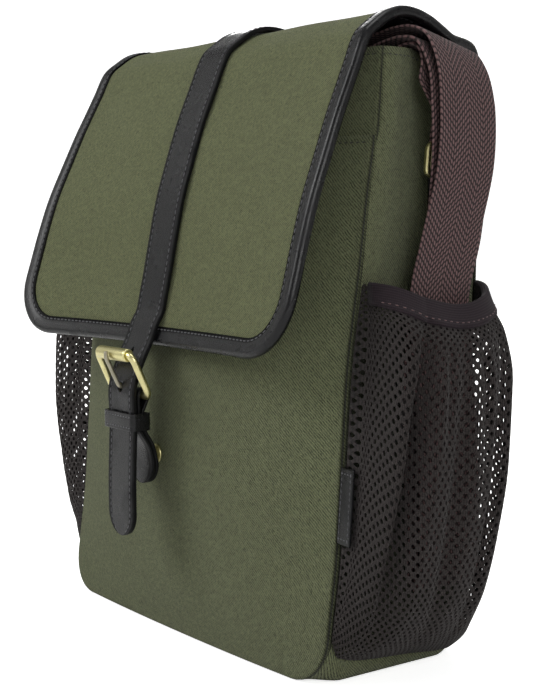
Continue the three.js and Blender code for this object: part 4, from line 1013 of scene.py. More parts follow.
def side_wall_shape():
    """The side wall: up the left, under the base and up the right, with its soft fold."""
    stations = [(1, share, 0.0, 0.0) for share in np.linspace(0, 1, 22)[:-1]]
    stations += [(1, 1.0, a, 0.0) for a in np.linspace(0, np.pi / 2, 12)]
    stations += [(1, 1.0, np.pi / 2, u) for u in np.linspace(0, 1, 80)[1:]]
    left = [(-1, b, a, u) for _, b, a, u in stations[1:]][::-1]
    side, along, angle, up = (np.array(column) for column in zip(*(left + stations)))
    across = np.linspace(0, 1, 49)
    across = across - 0.09 * np.sin(2 * np.pi * across)
    radius = wall_radius(across)[None, :]
    nx, nz = np.sin(angle)[:, None], -np.cos(angle)[:, None]
    z = radius + radius * nz
    z = z + (HEIGHT - z) * up[:, None]
    x = side[:, None] * ((HALF - radius) * along[:, None] + radius * nx)
    front = front_edge(z) + 1.1 + 2.1 * smoothstep(z, SLIP_HEIGHT - 3, SLIP_HEIGHT + 3)
    back = back_edge(z) + 0.7
    y = front + (back - front) * across[None, :]
    pull = 1.3 * (np.exp(-((across / 0.02) ** 2)) + np.exp(-(((1 - across) / 0.02) ** 2)))[None, :]
    wrinkle = 0.35 * np.sin(z / 17 + 3 * across[None, :]) * np.sin(np.pi * across[None, :])
    out = side_push(z, across[None, :]) - pull * smoothstep(z, 4, 20) + wrinkle * smoothstep(z, 30, 80)
    drop = (HEIGHT - hem_level(y)) * smoothstep(z, 0.8 * HEIGHT, HEIGHT)
    grid = np.stack([x + side[:, None] * nx * out, y, np.maximum(z + nz * out - drop, 0)], axis=-1)
    # Painted shade: the canvas darkens along both seams and behind the net, where the pockets shade it.
    seam = np.exp(-(((y - front) / 1.3) ** 2)) + np.exp(-(((back - y) / 1.3) ** 2))
    net_foot = HEIGHT * net_bottom(across)[None, :]
    shade_behind_net = smoothstep(z, net_foot + 2, net_foot + 8) * (1 - smoothstep(z, 168, 181))
    shade_behind_net = 0.8 * shade_behind_net * (across > 0.02) * (across < 0.99)
    painted_shade = np.clip(np.maximum(seam, shade_behind_net), 0, 1)
    middle = lengths_along(grid[:, len(across) // 2])
    uv = np.stack([np.broadcast_to(middle[:, None], y.shape), y], axis=-1)[..., ::-1] * MM
    return Shape().sheet(grid, uv, painted_shade=painted_shade), grid


def inner_front(x, z):
    return front_face(x, z) + CANVAS + LAYER_GAP


def outer_back(x, z):
    return back_face(x, z) + CANVAS


def build_body():
    panel("front_pocket_cloth", "front_pocket", SLIP_HEIGHT, front_face, CANVAS, 1.5, 0.8)
    panel("front_panel_cloth", "front_panel", HEIGHT, inner_front, TURNED, 1.4, 0.4)
    panel("back_panel_cloth", "back_panel", HEIGHT - BACK_DROP, outer_back, TURNED, 1.5, 0.4, turn=-1)
    shape, grid = side_wall_shape()
    wall = thicken(shape.make("side_wall_cloth", [finish("canvas_body")], False, (0, 0, -1)), CANVAS)
    place(wall, ["side_wall"], "canvas")
    sew_body(grid)


def sew_body(wall):
    """Hem stitches on the slip pocket, the front panel and the side wall's top."""
    lines = []
    x = np.linspace(-HALF + 4, HALF - 4, 90)
    for face_y, level in ((front_face, SLIP_HEIGHT - 3.2), (inner_front, HEIGHT - 3.5)):
        z = np.full_like(x, level)
        lines.append((np.stack([x, face_y(x, z) - STITCH_SINK, z], axis=1), FRONT))
    for row, side in ((1, -1), (-2, 1)):
        lines.append((wall[row][2:-2] + side * STITCH_SINK * RIGHT, side * RIGHT))
    sew("body_stitches", lines, "thread_olive", "canvas", radius=0.0004)


# Flap and its binding


def flap_stations(step=2.2):
    """Places round the flap's edge with their outward direction in the flap's surface."""
    straight, flat = FLAP_LENGTH - FLAP_CORNER, FLAP_HEM / 2 - FLAP_CORNER
    right = [(float(flap_half(s)), s, 1.0, 0.0) for s in np.linspace(0, straight, int(straight / step))[:-1]]
    for a in np.linspace(0, np.pi / 2, 22):
        out_x, out_length = math.cos(a), math.sin(a)
        right.append((flat + FLAP_CORNER * out_x, straight + FLAP_CORNER * out_length, out_x, out_length))
    right += [(x, FLAP_LENGTH, 0.0, 1.0) for x in np.linspace(flat, 0, 44)[1:]]
    left = [(-x, s, -ox, oy) for x, s, ox, oy in right[:-1]][::-1]
    return np.array(right + left)


def flap_edge(stations, out, above):
    """Points at an outward distance from the flap's edge and a height over its middle surface."""
    x, length, out_x, out_length = stations.T
    at = (x + out_x * out, length + out_length * out)
    normal = flap_normal(*at)
    return flap_point(*at) + normal * above, normal


def build_flap():
    """The canvas flap with its lining, a little slack between its edges."""
    straight = np.linspace(0, FLAP_LENGTH - FLAP_CORNER, 150)[:-1]
    corner = FLAP_CORNER * (1 - np.sin(np.linspace(0, np.pi / 2, 20)))
    lengths = np.concatenate([straight, FLAP_LENGTH - corner - 0.01])
    shares = np.linspace(-1, 1, 81)
    x = (flap_half(lengths)[:, None] - 0.6) * shares[None, :]
    along = np.broadcast_to(lengths[:, None], x.shape)
    middle, normal = flap_point(x, along), flap_normal(x, along)
    slack = 0.5 * np.sin(along / 23 + x / 31) * np.sin(along / 11 - x / 19)
    fade = (1 - np.abs(shares[None, :]) ** 4) * smoothstep(along, 30, 90)
    cloth, thin = middle + normal * (slack * fade)[..., None], normal * FLAP_THICK / 2
    outer, inner = cloth + thin, cloth - thin
    uv = np.stack([x, along], axis=-1) * MM
    shape = Shape().sheet(outer, uv).sheet(inner, uv, mark=1, flip=True)
    rim = np.concatenate([outer[:, 0], outer[-1], outer[::-1, -1], outer[0, ::-1]])
    under = np.concatenate([inner[:, 0], inner[-1], inner[::-1, -1], inner[0, ::-1]])
    edge_uv = np.zeros((2, len(rim), 2))
    edge_uv[..., 0] = lengths_along(rim) * MM
    edge_uv[1, :, 1] = FLAP_THICK * MM
    shape.sheet(np.stack([rim, under]), edge_uv, mark=1)
    flap = shape.make("flap_cloth", [finish("canvas_flap"), finish("lining_black")])
    place(flap, ["flap"], "canvas")
    build_binding()


def build_binding():
    """The leather tape folded over the flap's edge, with its row of stitches."""
    out = -np.array([8, 7.95, 7.7, 7.2, 6.7, 6.3, 5.8, 5, 3.5, 2, 0.8])
    over = np.array([1.3, 1.9, 2.2, 2.3, 2.2, 2.12, 2.25, 2.5, 2.68, 2.76, 2.75])
    half = list(zip(out, over))
    half += [(-0.8 + 2.5 * math.sin(a), 2.75 * math.cos(a)) for a in np.linspace(0.15, np.pi / 2, 9)]
    section = np.array(half + [(x, -y) for x, y in half[:-1]][::-1])
    stations = flap_stations()
    grid = np.array([flap_edge(stations, sx, sy)[0] for sx, sy in section]).transpose(1, 0, 2)
    path, normal = flap_edge(stations, -BINDING_SEAM, BINDING_OVER)
    pucker = 0.07 * np.sin(lengths_along(path) * 2 * np.pi / 3.3)
    off_seam = section[:, 0] + BINDING_SEAM
    near = np.exp(-((off_seam / 1.2) ** 2)) * np.sign(section[:, 1])
    grid = grid + normal[:, None, :] * pucker[:, None, None] * near[None, :, None]
    # Painted shade in the stitch channel and over the tape's inner flange.
    channel = np.clip(np.exp(-((off_seam / 0.8) ** 2)) + (off_seam < -0.7), 0, 1)
    shape = Shape().tube(grid, lengths_around(section), lengths_along(path), painted_shade=channel)
    binding = shape.make("flap_binding_leather", [finish("leather_black")])
    place(binding, ["flap_binding"], "leather")
    below, _ = flap_edge(stations, -BINDING_SEAM, -BINDING_OVER)
    sew("flap_binding_stitches", [(path, normal), (below, -normal)], "thread_dark", "leather")


# Front strap, buckle and snap

SHORT_STITCH = {"pitch": 0.0026, "length": 0.0019}
HEM_Y = float(flap_point(0, FLAP_LENGTH)[1])
HEM_Z = HEIGHT - FLAP_DROP
OVER_CANVAS = FLAP_THICK / 2 + 2 * CLEARANCE + STRAP_THICK / 2
OVER_BINDING = OVER_CANVAS + CLEARANCE + 1.2
HEEL_Y, HEEL_Z = HEM_Y - 10, HEM_Z - 26.5
ROLLER_Y, ROLLER_Z = HEM_Y - 19.8, HEM_Z - 5.5
BILLET_PITCH = BILLET + 0.35
BILLET_FRONT = HEEL_Y - BAR - CLEARANCE - BILLET / 2
OVER_BILLET = BILLET_FRONT - BILLET / 2 - CLEARANCE - STRAP_THICK / 2


def in_plane(rows):
    """Points of a line in the YZ plane, from rows of y and z."""
    return np.array([(0.0, y, z) for y, z in rows])


def front_strap_path():
    lengths = np.linspace(STRAP_START, FLAP_LENGTH - BINDING - 7, 31)
    on_flap = flap_point(0 * lengths, lengths) + flap_normal(0 * lengths, lengths) * OVER_CANVAS
    over = np.array([FLAP_LENGTH - BINDING - 0.5, FLAP_LENGTH])
    over = flap_point(0 * over, over) + flap_normal(0 * over, over) * (OVER_BINDING + 0.2)
    tail = in_plane(
        (
            (OVER_BILLET + 6.6, ROLLER_Z - 1),
            (OVER_BILLET + 2.2, (ROLLER_Z + HEEL_Z) / 2),
            (OVER_BILLET - 0.1, HEEL_Z + 2),
            (OVER_BILLET - 0.1, HEEL_Z - 6),
            (OVER_BILLET + 0.3, HEEL_Z - 14),
            (OVER_BILLET - 0.2, HEEL_Z - 26),
            (OVER_BILLET - 1, HEEL_Z - 48),
            (OVER_BILLET - 0.9, HEEL_Z - 73.5),
        )
    )
    return smooth_path(np.vstack([on_flap, over, tail]), 6)[0]


def cut_away(obj, shapes):
    """Cuts the shapes out of the object."""
    cutters = [shape.make("cutter", [finish("leather_edge")]) for shape in shapes]
    for cutter in cutters:
        cut = obj.modifiers.new("Cut", "BOOLEAN")
        cut.object, cut.solver = cutter, "EXACT"
    settle(obj)
    for cutter in cutters:
        bpy.data.objects.remove(cutter)


def hole(y, z, radius, tilt, reach=7):
    """A round bar to cut a hole with, tilted about X."""
    shape = lathed([(0.001, -reach), (radius, -reach), (radius, reach), (0.001, reach)], 24)
    turn = np.array(Matrix.Rotation(tilt, 3, "X") @ Matrix.Rotation(math.pi / 2, 3, "Z"))
    shape.points = [points @ turn.T + np.array([0, y, z]) for points in shape.points]
    return shape


def strip_piece(name, path, width, thickness, ends, edge=0.7, step=1.6):
    """A leather strip with round edges and stitch channels, and the lines for its stitches."""
    path = close_ends(path, step, width / 2, *ends)
    normal = flat_normals(path)
    along = lengths_along(path)
    shares = round_ends(along, width / 2, *ends)
    section = slab_section(width, thickness, edge, flats=25, dip=0.12)
    inset = width / 2 - np.abs(section[:, 0])
    # Painted shade in the stitch channels and along the edges beyond them.
    seam, border = np.exp(-(((inset - 3) / 0.7) ** 2)), 1 - smoothstep(inset, 1.6, 3.0)
    channel = np.maximum(0.9 * seam, 0.6 * border)
    shape = swept(path, RIGHT, normal, section, widths=shares, painted_shade=channel)
    obj = shape.make(name, [finish("leather_black")])
    return obj, path, normal, shares


def strip_stitches(path, normal, shares, width, thickness, span, inset=3.0):
    """Rows of stitches along both edges of a strip that follow its round ends."""
    along = lengths_along(path)
    keep = (along >= span[0] * along[-1]) & (along <= span[1] * along[-1])
    reach = np.maximum(width / 2 * shares - inset, 0.0)[:, None]
    line = path + normal * (thickness / 2 - STITCH_SINK)
    return [((line + side * reach * RIGHT)[keep], normal[keep]) for side in (-1, 1)]


def build_front_strap():
    size = (STRAP_WIDTH, STRAP_THICK)
    strap, *run = strip_piece("front_strap_leather", front_strap_path(), *size, (False, True))
    prong_hole = hole(OVER_BILLET + 0.5, HEEL_Z + 3.8, 2.5, 0.15)
    spare_hole = hole(OVER_BILLET + 9, ROLLER_Z + 2, 2.0, 0.9)
    cut_away(strap, [prong_hole, spare_hole])
    place(strap, ["front_strap"], "leather")
    lines = strip_stitches(*run, *size, span=(0.004, 1 - 3.0 / lengths_along(run[0])[-1]))
    sew("front_strap_stitches", lines, "thread_dark", "leather")


def rounded_loop(half_x, half_v, radius, steps, point):
    """A closed line with round corners; point turns the two distances into a place."""
    made = []
    for corner, (sx, sv) in enumerate(((1, 1), (-1, 1), (-1, -1), (1, -1))):
        for i in range(steps + 1):
            a = (corner + i / steps) * math.pi / 2
            x, v = sx * (half_x - radius), sv * (half_v - radius)
            made.append(point(x + radius * math.cos(a), v + radius * math.sin(a)))
    return np.array(made)


def wire(path, plane, section, is_loop, widths=1.0):
    """A wire along a line that lies in a plane."""
    if is_loop:
        step = np.roll(path, -1, axis=0) - np.roll(path, 1, axis=0)
    else:
        step = np.gradient(path, axis=0)
    side = unit(np.cross(unit(step), plane))
    return swept(path, side, plane, section, is_loop=is_loop, widths=widths)


FRAME_LENGTH = math.hypot(ROLLER_Y - HEEL_Y, ROLLER_Z - HEEL_Z)
FRAME_LEAN = math.atan2(HEEL_Y - ROLLER_Y, ROLLER_Z - HEEL_Z)


def buckle_point(x, along, proud=0.0):
    lean = (math.sin(FRAME_LEAN), math.cos(FRAME_LEAN))
    return (x, HEEL_Y - along * lean[0] - proud * lean[1], HEEL_Z + along * lean[1] - proud * lean[0])


def build_buckle():
    middle = FRAME_LENGTH / 2
    loop = rounded_loop(BUCKLE_HALF, middle, BUCKLE_CORNER, 8, lambda x, v: buckle_point(x, middle + v))
    plane = np.array(buckle_point(0, 0, 1)) - np.array(buckle_point(0, 0))
    ring = wire(loop, plane, round_section(20, BAR + 0.15, BAR - 0.1), True)
    place(ring.make("buckle_frame_brass", [finish("brass_satin")]), ["buckle_frame"], "brass")
    half, inner, soft = BUCKLE_HALF - BAR - 1.6, BAR + CLEARANCE, 0.7
    angles = np.linspace(0, np.pi / 2, 6)
    rim = [(ROLLER - soft * (1 - math.sin(a)), half - soft * (1 - math.cos(a))) for a in angles]
    profile = [(inner, -half), (inner + 0.3, -half)] + [(r, -x) for r, x in rim] + rim[::-1]
    profile += [(inner + 0.3, half), (inner, half), (inner, -half)]
    roller = lathed(profile, 48).make("buckle_roller_brass", [finish("brass_satin")])
    roller.data.transform(Matrix.Translation((0, ROLLER_Y * MM, ROLLER_Z * MM)))
    place(roller, ["buckle_roller"], "brass")
    build_prong()
    build_keeper()


def build_prong():
    wrap, rest = BAR + CLEARANCE + PRONG, ROLLER + CLEARANCE + PRONG
    turn = np.radians(-60 + np.arange(7) * 25.0)
    rows = [(HEEL_Y + wrap * math.cos(a), HEEL_Z + wrap * math.sin(a)) for a in turn]
    rows += [
        (HEEL_Y - 3.5, HEEL_Z + wrap + 0.1),
        (HEEL_Y - 6.8, HEEL_Z + wrap + 0.9),
        (HEEL_Y - 9.6, HEEL_Z + 9),
        (ROLLER_Y - rest * 0.55, ROLLER_Z - 6),
        (ROLLER_Y - rest * 0.94, ROLLER_Z - 2),
        (ROLLER_Y - rest * 1.03, ROLLER_Z + 1.4),
    ]
    path = even_path(smooth_path(in_plane(rows), 8)[0], 0.6)
    along = lengths_along(path) / lengths_along(path)[-1]
    thin = 1 - 0.25 * smoothstep(along, 0.9, 1)
    shape = wire(path, RIGHT, round_section(14, PRONG), False, widths=thin)
    place(shape.make("buckle_prong_metal", [finish("prong_grey")]), ["buckle_prong"], "brass")


def build_keeper():
    front = OVER_BILLET - STRAP_THICK / 2 - 2 * CLEARANCE
    back = BILLET_FRONT + 1.6 + BILLET_PITCH + BILLET / 2 + CLEARANCE
    inside = STRAP_WIDTH / 2 + KEEPER_ROOM
    grow = KEEPER_THICK / 2
    centre, level = (front + back) / 2, HEEL_Z - 18 + KEEPER_HEIGHT / 2
    deep = (back - front) / 2 + grow
    path = rounded_loop(inside + grow, deep, 1 + grow, 6, lambda x, v: (x, centre + v, level))
    step = np.roll(path, -1, axis=0) - np.roll(path, 1, axis=0)
    outward = unit(np.cross(unit(step), (0, 0, 1.0)))
    section = slab_section(KEEPER_HEIGHT, KEEPER_THICK, 0.5, flats=15, dip=0.1, dip_at=1.8)
    shape = swept(path, (0, 0, 1.0), outward, section, is_loop=True)
    place(shape.make("strap_keeper_leather", [finish("leather_black")]), ["strap_keeper"], "leather")
    x = np.linspace(-inside + 1, inside - 1, 20)
    rise = KEEPER_HEIGHT / 2 - 1.8
    lines = []
    for z in (level - rise, level + rise):
        lines.append((np.stack([x, 0 * x + front - KEEPER_THICK, 0 * x + z], axis=1), FRONT))
    sew("strap_keeper_stitches", lines, "thread_dark", "leather", **SHORT_STITCH, radius=0.0003)


def folded_rows(front, bar, radius, pitch, join):
    """A strip's rows up to a bar, round it and down again behind."""
    turn = math.pi - np.arange(7) / 6 * math.pi
    fold = [(bar[0] + radius * math.cos(a), bar[1] + radius * math.sin(a)) for a in turn]
    behind = []
    for i in range(join):
        (y0, z0), (y1, z1) = front[max(i - 1, 0)], front[i + 1]
        run = math.hypot(y1 - y0, z1 - z0)
        y, z = front[i]
        behind.append((y + pitch * (z1 - z0) / run, z - pitch * (y1 - y0) / run))
    return list(front) + fold + behind[::-1]


def build_snap():
    front = [
        (BILLET_FRONT + 8.8, BILLET_TIP),
        (BILLET_FRONT + 8.8, BILLET_TIP + 5),
        (BILLET_FRONT + 8.6, BILLET_TIP + 11),
        (BILLET_FRONT + 6.6, BILLET_TIP + 20),
        (BILLET_FRONT + 1.2, HEEL_Z - 18),
        (BILLET_FRONT + 0.6, HEEL_Z - 14),
        (BILLET_FRONT + 0.3, HEEL_Z - 9.5),
        (BILLET_FRONT, HEEL_Z - 3),
    ]
    rows = folded_rows(front, (HEEL_Y, HEEL_Z), HEEL_Y - BILLET_FRONT, BILLET_PITCH, 7)
    path, size = smooth_path(in_plane(rows), 8)[0], (STRAP_WIDTH, BILLET)
    tab, *run = strip_piece("snap_tab_leather", path, *size, (True, True), edge=0.45, step=1.2)
    through = in_plane([(HEEL_Y - 8, HEEL_Z + 1.5), (HEEL_Y + 8, HEEL_Z + 1.5)])
    cut_away(tab, [swept(through, RIGHT, (0, 0, 1.0), slab_section(PRONG_SLOT, 11.5, 1.5, flats=3))])
    place(tab, ["snap_tab"], "leather")
    lines = strip_stitches(*run, *size, span=(0.03, 0.36), inset=2.6)
    sew("snap_tab_stitches", lines, "thread_dark", "leather")
    build_studs()


def build_studs():
    """The snap's socket behind the tab and its stud on the canvas."""
    back = BILLET_FRONT + 8.6 + BILLET_PITCH + BILLET / 2 + CLEARANCE
    face = float(front_face(0.0, SNAP_Z)) - CLEARANCE
    middle = (back + face) / 2
    gap = CLEARANCE / 2
    socket = [
        (0.001, back),
        (SOCKET - 1.2, back),
        (SOCKET - 0.4, back + 0.25),
        (SOCKET, back + 0.8),
        (SOCKET, middle - gap - 0.6),
        (SOCKET - 0.25, middle - gap - 0.2),
        (SOCKET - 0.8, middle - gap),
        (0.001, middle - gap),
    ]
    stud = [
        (0.001, middle + gap),
        (STUD * 0.5, middle + gap),
        (STUD * 0.55, middle + gap + 0.3),
        (STUD * 0.55, middle + 1),
        (STUD - 0.3, face - 1.2),
        (STUD, face - 0.9),
        (STUD, face - 0.1),
        (0.001, face),
    ]
    turn = Matrix.Translation((0, 0, SNAP_Z * MM)) @ Matrix.Rotation(math.pi / 2, 4, "Z")
    for node, profile in (("snap_socket", socket), ("snap_stud", stud)):
        part = lathed(profile, 32).make(f"{node}_brass", [finish("brass_satin")])
        part.data.transform(turn)
        place(part, [node], "brass")


# Net pockets


def net_lattice(pitch_across, pitch_up):
    """Faces of a diamond lattice over the net, evenly wide at each height, and its points."""
    fine = np.linspace(0, 1, 600)
    middle = net_point(np.full(200, 0.35), np.linspace(0, 1, 200))
    rise = lengths_along(middle)
    rows = int(round(rise[-1] / (pitch_up / 2) / 2)) * 2
    levels = np.interp(np.linspace(0, rise[-1], rows + 1), rise, np.linspace(0, 1, 200))
    widest = lengths_along(net_point(fine, 0.6))[-1]
    cells = int(round(widest / (pitch_across / 2) / 2)) * 2
    points = np.empty((rows + 1, cells + 1, 3))
    for j, up in enumerate(levels):
        along = lengths_along(net_point(fine, up))
        across = np.interp(np.linspace(0, along[-1], cells + 1), along, fine)
        points[j] = net_point(across, up)
    faces = []
    for j in range(rows + 1):
        for i in range((j + 1) % 2, cells + 1, 2):
            left, right, below, above = max(i - 1, 0), min(i + 1, cells), max(j - 1, 0), min(j + 1, rows)
            corners = ((left, j), (i, below), (right, j), (i, above))
            loop = list(dict.fromkeys(b * (cells + 1) + a for a, b in corners))
            if len(loop) > 2:
                faces.append(loop)
    over, along = np.arange(cells + 1) * pitch_across / 2, np.arange(rows + 1) * pitch_up / 2
    return points, faces, np.stack(np.meshgrid(over, along), axis=-1)


def build_net_pockets():
    sizes = bpy.context.scene.bag_net
    points, faces, uv = net_lattice(sizes.pitch_across / MM, sizes.pitch_up / MM)
    flat_uv = uv.reshape(-1, 2) * MM
    for side, word in SIDES:
        name = f"side_pocket_{word}_net"
        mesh = bpy.data.meshes.new(name)
        placed = points.reshape(-1, 3) * [side, 1, 1]
        loops = faces if side > 0 else [loop[::-1] for loop in faces]
        mesh.from_pydata((placed * MM).tolist(), [], loops)
        layer = mesh.uv_layers.new(name="UVMap")
        corner_uv = flat_uv[[index for loop in loops for index in loop]]
        layer.data.foreach_set("uv", corner_uv.astype(np.float32).ravel())
        body = bmesh.new()
        body.from_mesh(mesh)
        bmesh.ops.delete(body, geom=[v for v in body.verts if not v.link_faces], context="VERTS")
        facing = sum((face.normal.x * face.calc_area() for face in body.faces), 0.0)
        if facing * side < 0:
            bmesh.ops.reverse_faces(body, faces=body.faces)
        body.to_mesh(mesh)
        body.free()
        values = {"Hole Share": sizes.hole_share, "Cord Thickness": -sizes.cord, "Cord": finish("net_cord")}
        net = run_tree(add_object(name, mesh), perforated_tree(), values)
        place(net, [f"side_pocket_{word}"], "net")
        build_rim(side, word)


RIM_SHARE = ELASTIC / (RIM_HEIGHT - RIM_DIP / 2 - HEIGHT * float(net_bottom(0.5)))


def build_rim(side, word):
    """The elastic folded over the net's top edge, with its stitch line."""
    across = np.linspace(0.0015, 0.9985, 150)
    inner = POCKET_THICK / 2 + 0.4
    outer = inner + ELASTIC_THICK
    rows = [(-ELASTIC, inner * 0.3), (-ELASTIC, outer - 0.35), (-ELASTIC + 0.4, outer)]
    rows += [(x, outer) for x in np.linspace(-ELASTIC + 1.2, -0.6, 9)]
    rows += [(-0.6 + 1.7 * math.sin(a), outer * math.cos(a)) for a in np.linspace(0.2, np.pi / 2, 6)]
    section = np.array(rows + [(x, -y) for x, y in rows[:-1]][::-1])
    grid = np.empty((len(across), len(section), 3))
    for k, (reach, proud) in enumerate(section):
        up = np.full_like(across, min(1 + reach / ELASTIC * RIM_SHARE, 1))
        grid[:, k] = net_point(across, up) + net_inward(across, up) * (POCKET_THICK / 2 - proud)
        grid[:, k, 2] += max(reach, 0)
    up = 1 - 0.82 * RIM_SHARE
    inward = net_inward(across, np.full_like(across, up))
    stitch = net_point(across, up) + inward * (POCKET_THICK / 2 - outer - 0.05)
    mirror = np.array([side, 1, 1])
    along = lengths_along(grid[:, len(section) // 2])
    shape = Shape().tube(grid * mirror, lengths_around(section), along)
    rim = shape.make(f"pocket_binding_{word}_elastic", [finish("elastic_plum")])
    place(rim, [f"pocket_binding_{word}"], "elastic")
    lines = [(stitch[3:-3] * mirror, (-inward * mirror)[3:-3])]
    stitch_size = {"pitch": 0.0036, "length": 0.0018, "radius": 0.00028}
    sew(f"pocket_rim_{word}_stitches", lines, "thread_plum", "elastic", **stitch_size)


# Label tab and strap fittings


def build_label():
    z = np.linspace(LABEL_BOTTOM, LABEL_BOTTOM + LABEL_LENGTH, 40)
    lean = 0.15
    y = front_edge(z) + 0.2 - lean * LABEL_REACH / 2 + LABEL_THICK / 2
    path = np.stack([0 * z + HALF + CLEARANCE + LABEL_REACH / 2, y, z], axis=1)
    across = unit(RIGHT + lean * FRONT)
    face = unit(np.cross(across, (0, 0, 1.0)))
    section = slab_section(LABEL_REACH, LABEL_THICK, 0.45, flats=13, dip=0.08, dip_at=1.6)
    shape = swept(path, across, face, section)
    place(shape.make("label_tab_leather", [finish("leather_black")]), ["label_tab"], "leather")
    lines = []
    half = LABEL_REACH / 2 - 1.6
    for side in (-1, 1):
        on_face = path + face * side * (LABEL_THICK / 2)
        for reach in (-half, half):
            lines.append((on_face[3:-3] + across * reach, face * side))
        for row in (3, -4):
            lines.append((on_face[row] + across * np.linspace(-half, half, 6)[:, None], face * side))
    sew("label_tab_stitches", lines, "thread_dark", "leather", **SHORT_STITCH, radius=0.00028)


TAB_FOLD = RING_WIRE + CLEARANCE + TAB_THICK / 2
TAB_PITCH = TAB_THICK + 0.35
RING_DEPTH = 3 * CLEARANCE + TAB_THICK + RING_WIRE
TAB_SHARES = np.array([-0.5, 0, 0.5])
FITTING_X = float(side_face_x(RING_ACROSS + TAB_SHARES * TAB_WIDTH, RING_BAR).max()) + RING_DEPTH


def fitting_turn(side):
    """Turns a fitting that is drawn facing -Y to its place on one side of the bag."""
    spot = Matrix.Translation((side * FITTING_X * MM, RING_ACROSS * MM, RING_BAR * MM))
    return spot @ Matrix.Rotation(side * math.pi / 2, 4, "Z")


def build_fittings():
    join = TAB_FOLD - TAB_PITCH
    low = -TAB_LENGTH
    front = [
        (join, low),
        (join, low * 0.75),
        (join, low * 0.5),
        (join * 0.3 - TAB_FOLD * 0.7, low * 0.22),
        (-TAB_FOLD, low * 0.06),
    ]
    rows = folded_rows(front, (0, 0), TAB_FOLD, TAB_PITCH, 3)
    path = even_path(smooth_path(in_plane(rows), 8)[0], 1.0)
    section = slab_section(TAB_WIDTH, TAB_THICK, 0.45, flats=21, dip=0.1)
    lean = (math.sin(RING_LEAN), math.cos(RING_LEAN))
    middle = RING_HEIGHT / 2

    def on_ring(x, v):
        return (x, -(middle + v) * lean[0], (middle + v) * lean[1])

    loop = rounded_loop(RING_WIDTH / 2, middle, RING_CORNER, 7, on_ring)
    for side, word in SIDES:
        turn = fitting_turn(side)
        tab = swept(path, RIGHT, flat_normals(path), section)
        ring = wire(loop, (0, -lean[1], -lean[0]), round_section(16, RING_WIRE), True)
        for shape, node, slot, look in (
            (tab, f"ring_tab_{word}", "leather", "leather_black"),
            (ring, f"ring_{word}", "brass", "brass_satin"),
        ):
            piece = shape.make(f"{node}_{slot}", [finish(look)])
            piece.data.transform(turn)
            place(piece, [node], slot)
        base = in_plane(front[:3:2]) + FRONT * (TAB_THICK / 2 - STITCH_SINK)
        spin = np.array(turn.to_3x3())
        lines = []
        for x in (-TAB_WIDTH / 2 + 3, TAB_WIDTH / 2 - 3):
            placed = (base + x * RIGHT) @ spin.T + np.array(turn.translation) / MM
            lines.append((placed, spin @ FRONT))
        sew(f"ring_tab_{word}_stitches", lines, "thread_dark", "leather")


# Shoulder strap

BAR_X = FITTING_X + RING_HEIGHT * math.sin(RING_LEAN)
BAR_Z = RING_BAR + RING_HEIGHT * math.cos(RING_LEAN)
SEWN_RADIUS = RING_WIRE + CLEARANCE + WEBBING_THICK / 2
ROLL = math.atan2(HEM_DIP, 0.4 * DEPTH)

# Rows of the strap's route: x, out, level, y and roll
OVER_HEM = (
    (1, 0.115, -0.9, 0.28, 0.3),
    (1, 0.085, -0.4, 0.29, 0.8),
    (1, 0.02, -0.11, 0.29, 1),
    (0.96, 0, -0.09, 0.28, 1),
    (0.88, 0, -0.3, 0.26, 0.7),
)
LOWER_RUN = (
    (0.6, 0, -0.75, 0.2, 0.2),
    (0.2, 0, -0.95, 0.17, 0),
    (-0.3, 0, -1, 0.17, 0),
    (-0.68, 0, -0.95, 0.17, 0),
)
MOUTH_TURN = ((-0.73, 0, -0.9, 0.17, 0), (-0.748, 0, -0.72, 0.17, 0), (-0.73, 0, -0.54, 0.17, 0))
MIDDLE_RUN = (
    (-0.3, 0, -0.62, 0.17, 0),
    (0.2, 0, -0.55, 0.18, 0),
    (0.6, 0, -0.3, 0.2, 0.3),
    (0.88, 0, 0.02, 0.22, 0.9),
    (0.97, 0, 0.1, 0.24, 1),
)
INNER_FALL = (
    (1, 0.07, 0.02, 0.26, 1),
    (1, 0.19, -0.6, 0.285, 0.8),
    (1, 0.24, -1.6, 0.3, 0.4),
    (1, 0.24, -3.2, 0.31, 0.2),
    (1, 0.19, -5.2, 0.29, 0.1),
    (1, 0.16, -6.8, 0.22, 0),
    (1, 0.17, -9, 0.17, 0),
    (1, 0.2, -12, 0.16, 0),
    (1, 0.22, -14.2, 0.16, 0),
)
POCKET_TURN = ((1, 0.25, -14.8, 0.16, 0), (1, 0.32, -15.05, 0.16, 0), (1, 0.39, -14.8, 0.16, 0))
OUTER_RISE = (
    (1, 0.42, -14, 0.16, 0),
    (1, 0.4, -11.5, 0.16, 0),
    (1, 0.34, -8.8, 0.15, 0),
    (1, 0.285, -6.8, 0.15, -0.05),
    (1, 0.3, -5.2, 0.22, -0.1),
    (1, 0.345, -3.2, 0.3, -0.2),
    (1, 0.345, -1.6, 0.31, -0.35),
    (1, 0.29, -0.5, 0.295, -0.8),
    (1, 0.15, 0.16, 0.28, -1.2),
    (0.99, 0, 0.32, 0.265, -1.35),
    (0.9, 0, 0.31, 0.25, -1.3),
)
UPPER_RUN = (
    (0.6, 0, 0.05, 0.2, -0.4),
    (0.2, 0, -0.12, 0.18, 0),
    (-0.3, 0, -0.16, 0.18, 0),
    (-0.65, 0, -0.1, 0.21, -0.3),
)


def route_key(row, side, turn=1):
    x, out, level, y, roll = row
    spot = (side * (x * HALF + out * POCKET_OUT), y * DEPTH, HEIGHT + level * FLAP_RISE)
    return (*spot, turn * roll * ROLL, WEBBING)


